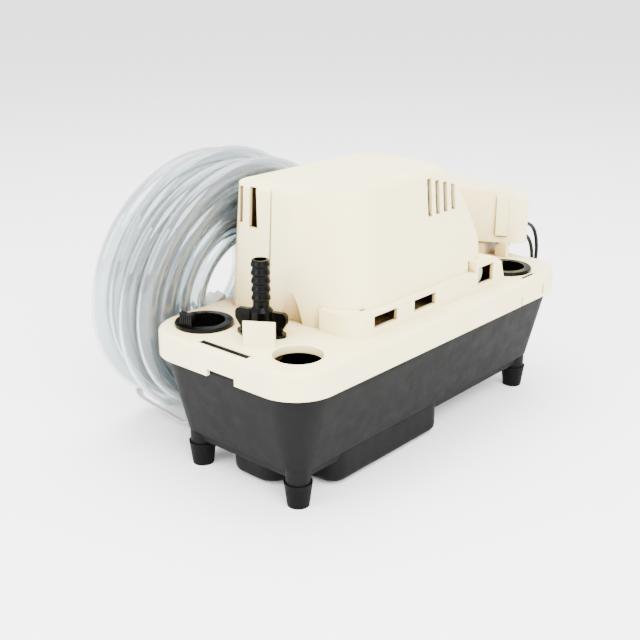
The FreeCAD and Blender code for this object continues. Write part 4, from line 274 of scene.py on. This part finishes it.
# %% [markdown]
# The stator winding is enamelled wire under a wrap of tape. Bands across it read as the edges of
# the tape, about 6 mm wide, amber where one layer of it covers the copper.

# %% Taped winding
TAPE_MM = 6.0
WAVE_PERIOD = 6.283
taped_winding, tree = blank("taped_motor_winding")
here = add(tree, "ShaderNodeTexCoord").outputs["Object"]
bands = add(tree, "ShaderNodeTexWave", {"Vector": here}, wave_type="BANDS", bands_direction="Y",
            Scale=per_mm(TAPE_MM) / WAVE_PERIOD, Distortion=0.6)
step = add(tree, "ShaderNodeBump", {"Height": bands.outputs["Fac"]}, Distance=0.00006)
surface(tree, {"Base Color": two_tone(tree, bands.outputs["Fac"], "#A8551C", "#C2792E"),
               "Normal": step.outputs["Normal"]}, Roughness=0.42, Coat_Weight=0.3)
print("made", taped_winding.name)

# %% [markdown]
# Clear vinyl tubing is extruded PVC. It bends light as PVC does (IOR 1.54), it has a faint cold
# tint that adds up where turns overlap, and its surface is slightly rippled.

# %% Clear vinyl
clear_vinyl, tree = blank("clear_vinyl_extruded")
here = add(tree, "ShaderNodeTexCoord").outputs["Object"]
haze = add(tree, "ShaderNodeTexNoise", {"Vector": here}, Scale=per_mm(14.0), Detail=3.0)
ripple = add(tree, "ShaderNodeBump", {"Height": haze.outputs["Fac"]}, Distance=0.0002, Strength=0.4)
surface(tree, {"Roughness": spread(tree, haze.outputs["Fac"], 0.03, 0.09), "Normal": ripple.outputs["Normal"]},
        Base_Color=linear("#DDE4E6"), IOR=1.54, Transmission_Weight=0.94)
print("made", clear_vinyl.name)

# %% [markdown]
# The leads are stranded wire in black PVC, glossy when new, tied with black nylon strap. The
# hose is held by two straps of natural nylon, milky and half clear, so they hardly show on it.

# %% Lead and tie finishes
lead_vinyl = moulded("black_vinyl_insulation", "#020202", "#040404", rough=0.26, grain=2.5, depth=0.010, edge=0.1,
                     ior=1.54, shine=0.15)
tie_nylon = moulded("black_nylon_strap", "#0A0A0A", "#0D0D0D", rough=0.36, grain=0.9, depth=0.008, edge=0.2,
                    shine=0.2)
strap_nylon, tree = blank("natural_nylon_strap")
here = add(tree, "ShaderNodeTexCoord").outputs["Object"]
haze = add(tree, "ShaderNodeTexNoise", {"Vector": here}, Scale=per_mm(3.0), Detail=2.0)
skin = add(tree, "ShaderNodeBump", {"Height": haze.outputs["Fac"]}, Distance=0.00002)
surface(tree, {"Roughness": spread(tree, haze.outputs["Fac"], 0.28, 0.42, middle=(0.0, 1.0)),
               "Normal": skin.outputs["Normal"]},
        Base_Color=linear("#EDEEE8"), IOR=1.53, Transmission_Weight=0.6)
print("finishes in all", len(bpy.data.materials))

# %% [markdown]
# Each CAD solid keeps its shape and takes the finish of what it is made of. The record already
# says which slot a node belongs to, so one table from slot to finish dresses them all.

# %% Dressing the CAD solids
FINISH = {
    "cream_abs": cream_abs, "grey_abs": charcoal_abs, "foot_rubber": foot_rubber,
    "black_nylon": black_nylon, "seal_rubber": seal_rubber, "white_nylon": natural_nylon,
    "pale_nylon": pale_acetal, "red_plunger": red_plunger, "grey_polypropylene": grey_polypropylene,
    "stainless_shaft": stainless, "plated_steel": zinc_steel, "sintered_bronze": sintered_bronze,
    "lamination_steel": lamination_steel, "taped_winding": taped_winding, "float_foam": float_foam,
    "gland_nylon": gland_nylon, "clear_vinyl": clear_vinyl, "tie_nylon": tie_nylon,
    "lead_insulation": lead_vinyl,
}
for part in frame["record"]["subparts"]:
    mesh = nodes[part["node"]].data
    mesh.materials.clear()
    mesh.materials.append(FINISH[part["material_slot"]])
print("dressed", len(nodes), "nodes")

# %% [markdown]
# A coil is one long smooth line. Its control points lie on turns that step inwards by the
# spacing of the tube, then outwards on the next layer, climbing one tube where they reverse.
# A curve of order three cuts slightly inside its points, so the radius is raised to make up.

# %% The line of a coil
POINTS_A_TURN = 16
CUT_IN = 0.75 + 0.25 * math.cos(2 * math.pi / POINTS_A_TURN)


def coil_line(base, across, up, normal, outer, pitch, turns, layers, start, tail):
    """Control points of a coil of piled turns, with a short straight end at each side."""
    steps = turns * POINTS_A_TURN
    quarter = POINTS_A_TURN // 4
    made = []
    for layer in range(layers):
        for step in range(1 if layer else 0, steps + 1):
            share = step / steps
            radius = outer - pitch * turns * (share if layer % 2 == 0 else 1 - share)
            climb = 0.0
            if layer < layers - 1 and step > steps - quarter:
                climb = 0.5 * (step - steps + quarter) / quarter
            if layer and step < quarter:
                climb = -0.5 * (1 - step / quarter)
            turn = start + (layer * steps + step) * 2 * math.pi / POINTS_A_TURN
            made.append(base + (across * math.cos(turn) + up * math.sin(turn)) * (radius / CUT_IN)
                        + normal * (pitch * (layer + climb)))
    first = (made[0] - made[1]).normalized()
    last = (made[-1] - made[-2]).normalized()
    return [made[0] + first * tail] + made + [made[-1] + last * tail]


def smooth_line(name, points, radius=0.0):
    """An open spline of order three through the cord's own points, round if it has a radius."""
    curve = bpy.data.curves.new(name, "CURVE")
    curve.dimensions = "3D"
    line = curve.splines.new("NURBS")
    line.points.add(len(points) - 1)
    for spot, point in zip(line.points, points):
        spot.co = (*point, 1.0)
    line.order_u = 3
    line.use_endpoint_u = True
    curve.resolution_u = 5
    curve.bevel_depth = radius
    curve.bevel_resolution = 5
    curve.use_fill_caps = True
    return enter(name, curve)


print("a coil has", POINTS_A_TURN, "points a turn, raised by", round(1 / CUT_IN, 4))

# %% [markdown]
# The hose is 20 ft of clear tubing in a coil that stands on the floor and leans against the far
# edge of the cover. Clear tubing shows both its walls, so it is a real tube: rings of points
# carried along the smooth line make an outer and an inner wall, closed by a ring at each end.

# %% The clear hose
HOSE_DIAMETER = 0.0127
HOSE_BORE = 0.0095
HOSE_PITCH = 0.01315
HOSE_OUTER = 0.087
HOSE_TURNS = 4
HOSE_LAYERS = 4
HOSE_SIDES = 14
HOSE_START = math.radians(-38.0)
HOSE_LEAN = math.radians(8.0)
hose_centre = Vector((-0.0500, 0.0902965, 0.0919704))
hose_up = Vector((0.0, -math.sin(HOSE_LEAN), math.cos(HOSE_LEAN)))
hose_out = Vector((0.0, math.cos(HOSE_LEAN), math.sin(HOSE_LEAN)))
hose_base = hose_centre - hose_out * (HOSE_PITCH * (HOSE_LAYERS - 1) / 2)
hose_points = coil_line(hose_base, Vector((1, 0, 0)), hose_up, hose_out, HOSE_OUTER, HOSE_PITCH, HOSE_TURNS,
                        HOSE_LAYERS, HOSE_START, HOSE_DIAMETER)


def tube_mesh(name, points, outer, inner, sides):
    """A tube with two walls along the smooth line of the points. Gives the object and its line."""
    guide = smooth_line(name + "_guide", points)
    drawn = bpy.data.meshes.new_from_object(guide)
    line = [v.co.copy() for v in drawn.vertices]
    bpy.data.meshes.remove(drawn)
    bpy.data.curves.remove(guide.data)
    ways = [(line[min(i + 1, len(line) - 1)] - line[max(i - 1, 0)]).normalized() for i in range(len(line))]
    side = ways[0].orthogonal().normalized()
    verts = []
    for spot, way in zip(line, ways):
        side = (side - way * side.dot(way)).normalized()
        other = way.cross(side)
        for radius in (outer, inner):
            for k in range(sides):
                turn = 2 * math.pi * k / sides
                verts.append(spot + (side * math.cos(turn) + other * math.sin(turn)) * radius)
    faces = []
    ring = 2 * sides
    for i in range(len(line) - 1):
        for k in range(sides):
            n = (k + 1) % sides
            a, b = i * ring, (i + 1) * ring
            faces.append((a + k, a + n, b + n, b + k))
            faces.append((a + sides + n, a + sides + k, b + sides + k, b + sides + n))
    end = (len(line) - 1) * ring
    for k in range(sides):
        n = (k + 1) % sides
        faces.append((n, k, sides + k, sides + n))
        faces.append((end + k, end + n, end + sides + n, end + sides + k))
    mesh = bpy.data.meshes.new(name)
    mesh.from_pydata(verts, [], faces)
    mesh.polygons.foreach_set("use_smooth", [True] * len(mesh.polygons))
    return enter(name, mesh), line


hose, hose_line = tube_mesh("discharge_hose", hose_points, HOSE_DIAMETER / 2, HOSE_BORE / 2, HOSE_SIDES)
hose.data.materials.append(clear_vinyl)
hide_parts("hose_coil")
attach(hose, "base")
hose_length = sum((b - a).length for a, b in zip(hose_line, hose_line[1:]))
print("hose", round(hose_length, 3), "m,", len(hose.data.polygons), "faces")

# %% [markdown]
# Two black leads leave the rubber block in the rear wall, fall behind the tank and run along the
# floor to two small tied coils. They are limp wire, so their turns are wide and easy.

# %% The two leads
LEAD_DIAMETER = 0.0027
LEAD_PITCH = 0.00325
LEAD_OUTER = 0.02115
LEAD_TURNS = 3
LEAD_LAYERS = 2
LEAD_REST = LEAD_DIAMETER / 2 + 0.0003
COIL_REST = LEAD_REST + 0.00085
high_route = [(0.1397, -0.0250, 0.1130), (0.1535, -0.0256, 0.1122), (0.1585, -0.0290, 0.0960),
              (0.1575, -0.0280, 0.0720), (0.1558, -0.0180, 0.0440), (0.1565, -0.0020, 0.0200),
              (0.1574, 0.0160, LEAD_REST + 0.002), (0.1576, 0.0400, LEAD_REST),
              (0.1576, 0.0660, LEAD_REST), (0.1572, 0.0910, LEAD_REST)]
low_route = [(0.1397, -0.0250, 0.1064), (0.1502, -0.0254, 0.1026), (0.1540, -0.0280, 0.0890),
             (0.1520, -0.0280, 0.0660), (0.1500, -0.0190, 0.0420), (0.1506, -0.0040, 0.0210),
             (0.1520, 0.0120, LEAD_REST + 0.002), (0.1530, 0.0320, LEAD_REST),
             (0.15315, 0.0510, LEAD_REST)]
LEADS = [("alarm_lead_high", "lead_high", high_route, Vector((0.132, 0.118, COIL_REST))),
         ("alarm_lead_low", "lead_low", low_route, Vector((0.132, 0.072, COIL_REST)))]
leads = {}
for name, node, route, middle in LEADS:
    turns = coil_line(middle, Vector((1, 0, 0)), Vector((0, 1, 0)), Vector((0, 0, 1)), LEAD_OUTER, LEAD_PITCH,
                      LEAD_TURNS, LEAD_LAYERS, 0.0, LEAD_DIAMETER)
    lead = smooth_line(name, [Vector(p) for p in route] + turns, LEAD_DIAMETER / 2)
    lead.data.materials.append(lead_vinyl)
    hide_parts(node, node + "_coil")
    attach(lead, "base")
    leads[node] = lead
    print(name, len(lead.data.splines[0].points), "points")

# %% [markdown]
# Some small shapes only repeat: the strands of a stripped wire, the grip ribs of a plug. Each of
# those could be pasted out in a loop, but Geometry Nodes say it once, as a row or a ring of
# points with one shape set on every point, and its sizes stay named inputs. The result is made
# into a plain mesh, because only a mesh can ride on the pump and be exported.


# %% Tools for repeated pieces
def repeat_tree(name, inputs):
    """A tree with named inputs. Gives the tree, its input node and the key of each input."""
    tree = bpy.data.node_groups.new(name, "GeometryNodeTree")
    tree.interface.new_socket("Geometry", in_out="OUTPUT", socket_type="NodeSocketGeometry")
    keys = {}
    for label, kind, value in inputs:
        socket = tree.interface.new_socket(label, in_out="INPUT", socket_type=kind)
        socket.default_value = value
        keys[label] = socket.identifier
    return tree, add(tree, "NodeGroupInput"), keys


def joined(tree, *pieces):
    """Several geometries as one."""
    made = add(tree, "GeometryNodeJoinGeometry")
    for piece in pieces:
        tree.links.new(piece, made.inputs["Geometry"])
    return made.outputs["Geometry"]


def close_tree(tree, geometry, material):
    """Makes the instances real, gives them their finish and ends the tree."""
    real = add(tree, "GeometryNodeRealizeInstances", {"Geometry": geometry})
    dressed = add(tree, "GeometryNodeSetMaterial", {"Geometry": real.outputs["Geometry"]}, Material=material)
    add(tree, "NodeGroupOutput", {"Geometry": dressed.outputs["Geometry"]})


def grown(name, tree, keys, values, material):
    """Runs a tree once and keeps its result as a plain mesh with one finish."""
    host = enter(name + "_host", bpy.data.meshes.new(name + "_host"))
    modifier = host.modifiers.new("repeat", "NODES")
    modifier.node_group = tree
    for label, value in values.items():
        modifier[keys[label]] = value
    mesh = bpy.data.meshes.new_from_object(host.evaluated_get(bpy.context.evaluated_depsgraph_get()))
    host.modifiers.remove(modifier)
    bpy.data.objects.remove(host)
    mesh.name = name
    mesh.materials.clear()
    mesh.materials.append(material)
    mesh.polygons.foreach_set("material_index", [0] * len(mesh.polygons))
    made = enter(name, mesh)
    print(name, len(mesh.polygons), "faces")
    return made


# %% [markdown]
# The real leads end stripped, with a few millimetres of tinned strands showing. Six strands lie
# in a ring round a seventh. The ring is made at the origin and then turned along the wire. Their
# middle stands past the tip of the insulation, and their rear ends are sunk a little into it.

# %% Stripped ends
BARE_LENGTH = 0.0053
BARE_MIDDLE = 0.00185
tree, given, keys = repeat_tree("stripped_strands", [
    ("Ring radius", "NodeSocketFloat", 0.00045), ("Strand radius", "NodeSocketFloat", 0.00022),
    ("Length", "NodeSocketFloat", BARE_LENGTH), ("Start", "NodeSocketVector", (0, 0, 0)),
    ("Way", "NodeSocketVector", (0, 0, 1))])
ring = add(tree, "GeometryNodeMeshCircle", {"Radius": given.outputs["Ring radius"]}, Vertices=6)
core = add(tree, "GeometryNodeMeshLine", Count=1)
strand = add(tree, "GeometryNodeMeshCylinder",
             {"Radius": given.outputs["Strand radius"], "Depth": given.outputs["Length"]}, Vertices=8)
spots = joined(tree, ring.outputs["Mesh"], core.outputs["Mesh"])
placed = add(tree, "GeometryNodeInstanceOnPoints", {"Points": spots, "Instance": strand.outputs["Mesh"]})
turned = add(tree, "FunctionNodeAlignRotationToVector", {"Vector": given.outputs["Way"]}, axis="Z")
moved = add(tree, "GeometryNodeTransform",
            {"Geometry": placed.outputs["Instances"], "Rotation": turned.outputs["Rotation"],
             "Translation": given.outputs["Start"]})
close_tree(tree, moved.outputs["Geometry"], tinned_copper)
for name, node, route, middle in LEADS:
    spline = leads[node].data.splines[0].points
    tip = Vector(spline[-1].co[:3])
    way = (tip - Vector(spline[-2].co[:3])).normalized()
    strands = grown(name + "_strands", tree, keys, {"Start": tuple(tip + way * BARE_MIDDLE), "Way": tuple(way)},
                    tinned_copper)
    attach(strands, "base")
    leads[node + "_strands"] = strands

# %% [markdown]
# Each drain plug is pulled out by a small upright tab. A wet finger slips on smooth nylon, so its
# outer face has five upright grip ribs: round bars in a row, half sunk in the face.

# %% Grip ribs of the plugs
GRIP_COUNT = 5
GRIP_STEP = 0.0018
GRIP_FACE = 0.01473
GRIP_DROP = 0.0037
tree, given, keys = repeat_tree("grip_ribs", [
    ("Count", "NodeSocketInt", GRIP_COUNT), ("Rib radius", "NodeSocketFloat", 0.00045),
    ("Height", "NodeSocketFloat", 0.0056), ("Spacing", "NodeSocketVector", (0.0, GRIP_STEP, 0.0)),
    ("Start", "NodeSocketVector", (0, 0, 0))])
row = add(tree, "GeometryNodeMeshLine", {"Count": given.outputs["Count"], "Offset": given.outputs["Spacing"],
                                         "Start Location": given.outputs["Start"]})
bar = add(tree, "GeometryNodeMeshCylinder",
          {"Radius": given.outputs["Rib radius"], "Depth": given.outputs["Height"]}, Vertices=12)
placed = add(tree, "GeometryNodeInstanceOnPoints",
             {"Points": row.outputs["Mesh"], "Instance": bar.outputs["Mesh"]})
close_tree(tree, placed.outputs["Instances"], black_nylon)
for name, node, body in (("plug_front_grip", "drain_plug_front", "plug_front"),
                         ("plug_rear_grip", "drain_plug_rear", "plug_rear")):
    low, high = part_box(node)
    middle_x, middle_y = (low[0] + high[0]) / 2, (low[1] + high[1]) / 2
    start = (middle_x - GRIP_FACE, middle_y - GRIP_STEP * (GRIP_COUNT - 1) / 2, high[2] - GRIP_DROP)
    ribs = grown(name, tree, keys, {"Start": start}, black_nylon)
    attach(ribs, body)

# %% [markdown]
# The tank is latched to its cover by two flat tongues in slots in the deck, one at the front end
# and one near the rear. What the eye meets is the ribbed top of a tongue, just under the level of
# the deck. It is one slab with a row of narrow ribs on it, so a tree of nodes repeats the rib.

# %% Ribbed tops of the latch tongues
DECK_TOP = 0.0903
SLAB_DROP = 0.0004
RIB_HEIGHT = 0.0003
RIB_LIFT = 0.00014
tree, given, keys = repeat_tree("ribbed_tongue", [
    ("Slab", "NodeSocketVector", (0.004, 0.0376, 0.0009)), ("Slab middle", "NodeSocketVector", (0, 0, 0)),
    ("Rib", "NodeSocketVector", (0.0006, 0.0376, RIB_HEIGHT)), ("Rib start", "NodeSocketVector", (0, 0, 0)),
    ("Rib step", "NodeSocketVector", (0.0011, 0, 0)), ("Ribs", "NodeSocketInt", 3)])
slab = add(tree, "GeometryNodeMeshCube", {"Size": given.outputs["Slab"]})
slab_moved = add(tree, "GeometryNodeTransform",
                 {"Geometry": slab.outputs["Mesh"], "Translation": given.outputs["Slab middle"]})
row = add(tree, "GeometryNodeMeshLine", {"Count": given.outputs["Ribs"], "Offset": given.outputs["Rib step"],
                                         "Start Location": given.outputs["Rib start"]})
rib = add(tree, "GeometryNodeMeshCube", {"Size": given.outputs["Rib"]})
placed = add(tree, "GeometryNodeInstanceOnPoints",
             {"Points": row.outputs["Mesh"], "Instance": rib.outputs["Mesh"]})
close_tree(tree, joined(tree, slab_moved.outputs["Geometry"], placed.outputs["Instances"]), charcoal_abs)
# Each row: name, middle, size of the slab, how far down it starts, step of the ribs, size of a rib.
TONGUES = [
    ("latch_top_front", (-0.1328, -0.00115), (0.0041, 0.0378), 0.0012, (0.0011, 0.0, 0.0), (0.0006, 0.0378)),
    ("latch_top_rear", (0.0965, -0.0572), (0.0145, 0.0019), 0.0025, (0.0024, 0.0, 0.0), (0.0010, 0.0019))]
for name, (x, y), (long_x, long_y), rise, step, (rib_x, rib_y) in TONGUES:
    count = int(long_x / step[0])
    first = x - step[0] * (count - 1) / 2
    thick = rise - SLAB_DROP
    tongue = grown(name, tree, keys, {
        "Slab": (long_x, long_y, thick), "Slab middle": (x, y, DECK_TOP - rise + thick / 2),
        "Rib": (rib_x, rib_y, RIB_HEIGHT), "Rib start": (first, y, DECK_TOP - SLAB_DROP + RIB_LIFT),
        "Rib step": step, "Ribs": count}, charcoal_abs)
    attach(tongue, "base")

# %% [markdown]
# Two cable ties hold the hose. A tie is one long strap pulled round the bundle, so it follows the
# round corners of the outer turns and ends in a small square head. Its path is a rectangle with
# rounded corners, and the strap is a flat profile swept along it. A row of short bars stands for
# the teeth. They lie within the strap's thickness, so the strap looks smooth from outside. The
# tie is made flat and then laid round the coil.

# %% The ties of the hose
STRAP_ROOM = HOSE_PITCH * 0.12
STRAP_WIDTH, STRAP_THICKNESS = 0.0062, 0.0011
HEAD_OUT, HEAD_ALONG = 0.0023, 0.012
CORNER_POINTS = 7
inner_edge = HOSE_OUTER - HOSE_PITCH * HOSE_TURNS - HOSE_DIAMETER / 2 - STRAP_ROOM
outer_edge = HOSE_OUTER + HOSE_DIAMETER / 2 + STRAP_ROOM
low_edge = -HOSE_DIAMETER / 2 - STRAP_ROOM
high_edge = HOSE_PITCH * (HOSE_LAYERS - 1) + HOSE_DIAMETER / 2 + STRAP_ROOM
tree, given, keys = repeat_tree("cable_tie", [
    ("Reach", "NodeSocketFloat", outer_edge - inner_edge + STRAP_THICKNESS),
    ("Depth", "NodeSocketFloat", high_edge - low_edge + STRAP_THICKNESS),
    ("Corner", "NodeSocketFloat", HOSE_DIAMETER / 2 + STRAP_ROOM),
    ("Strap width", "NodeSocketFloat", STRAP_WIDTH), ("Strap thickness", "NodeSocketFloat", STRAP_THICKNESS),
    ("Tooth step", "NodeSocketFloat", 0.0022), ("Tooth", "NodeSocketVector", (0.0005, 0.0003, 0.0036)),
    ("Head", "NodeSocketVector", (0.0046, 0.0074, 0.0086)), ("Head place", "NodeSocketVector", (0, 0, 0))])
loop = add(tree, "GeometryNodeCurvePrimitiveQuadrilateral",
           {"Width": given.outputs["Reach"], "Height": given.outputs["Depth"]})
path = add(tree, "GeometryNodeFilletCurve", {"Curve": loop.outputs["Curve"], "Radius": given.outputs["Corner"]},
           mode="POLY", Limit_Radius=True)
path.inputs["Count"].default_value = CORNER_POINTS
profile = add(tree, "GeometryNodeCurvePrimitiveQuadrilateral",
              {"Width": given.outputs["Strap thickness"], "Height": given.outputs["Strap width"]})
strap = add(tree, "GeometryNodeCurveToMesh",
            {"Curve": path.outputs["Curve"], "Profile Curve": profile.outputs["Curve"]})
spots = add(tree, "GeometryNodeCurveToPoints",
            {"Curve": path.outputs["Curve"], "Length": given.outputs["Tooth step"]}, mode="LENGTH")
tooth = add(tree, "GeometryNodeMeshCube", {"Size": given.outputs["Tooth"]})
heading = add(tree, "FunctionNodeAlignRotationToVector", {"Vector": spots.outputs["Tangent"]},
              axis="X", pivot_axis="Z")
teeth = add(tree, "GeometryNodeInstanceOnPoints",
            {"Points": spots.outputs["Points"], "Instance": tooth.outputs["Mesh"],
             "Rotation": heading.outputs["Rotation"]})
head = add(tree, "GeometryNodeMeshCube", {"Size": given.outputs["Head"]})
head_moved = add(tree, "GeometryNodeTransform",
                 {"Geometry": head.outputs["Mesh"], "Translation": given.outputs["Head place"]})
close_tree(tree, joined(tree, strap.outputs["Mesh"], teeth.outputs["Instances"], head_moved.outputs["Geometry"]),
           strap_nylon)
head_place = (-(outer_edge - inner_edge) / 2 - HEAD_OUT, HEAD_ALONG, 0.0)
for name, node, degrees in (("cable_tie_rear", "hose_tie_rear", -62.0),
                            ("cable_tie_front", "hose_tie_front", -118.0)):
    tie = grown(name, tree, keys, {"Head place": head_place}, strap_nylon)
    turn = math.radians(degrees)
    outward = Vector((math.cos(turn), 0, 0)) + hose_up * math.sin(turn)
    along = outward.cross(hose_out)
    lay = Matrix((outward, hose_out, along)).transposed().to_4x4()
    lay.translation = hose_base + outward * (inner_edge + outer_edge) / 2 + hose_out * (low_edge + high_edge) / 2
    tie.data.transform(lay)
    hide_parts(node)
    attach(tie, "base")
    print(name, "lowest point", round(min(v.co.z for v in tie.data.vertices) * 1000, 2), "mm")

# %% [markdown]

# %% The cords
print("cords declared: the hose and", len(LEADS), "leads")

# %% [markdown]
# The stage is a plain pale floor that fades into a white surround, as in a product photograph.

# %% Floor
FLOOR_HALF = 6
floor_mesh = bpy.data.meshes.new("studio_floor")
floor_mesh.from_pydata([(-FLOOR_HALF, -FLOOR_HALF, 0), (FLOOR_HALF, -FLOOR_HALF, 0), (FLOOR_HALF, FLOOR_HALF, 0),
                        (-FLOOR_HALF, FLOOR_HALF, 0)], [], [(0, 1, 2, 3)])
floor = enter("studio_floor", floor_mesh)
paper, tree = blank("pale_studio_paper")
surface(tree, Base_Color=linear("#FAFAFA"), Roughness=0.9)
floor.data.materials.append(paper)
print("floor", 2 * FLOOR_HALF, "m wide")

# %% [markdown]
# The light is that of a photo tent: most of it comes evenly from the white surround, and three
# big soft lamps give the walls their slight difference. All three point at the pump's middle.

# %% Soft light
SURROUND = 2.6
LAMP_AIM = (0.0, 0.0, 0.07)
# Each lamp: name, place in metres, power in watts, width in metres.
LAMPS = [("key_softbox", (-0.55, -0.95, 1.05), 48.0, 0.9), ("left_softbox", (-1.15, 0.25, 0.70), 22.0, 0.8),
         ("top_softbox", (0.15, 0.15, 1.35), 34.0, 1.1)]
world = bpy.data.worlds.new("soft_white_surround")
bpy.context.scene.world = world
world.use_nodes = True
world.node_tree.nodes.clear()
sky = add(world.node_tree, "ShaderNodeBackground", Color=(1.0, 1.0, 1.0, 1.0), Strength=SURROUND)
add(world.node_tree, "ShaderNodeOutputWorld", {"Surface": sky.outputs["Background"]})
for name, spot, power, width in LAMPS:
    lamp_data = bpy.data.lights.new(name, "AREA")
    lamp_data.energy = power
    lamp_data.size = width
    aim(enter(name, lamp_data), spot, LAMP_AIM)
    print(name, power, "W")
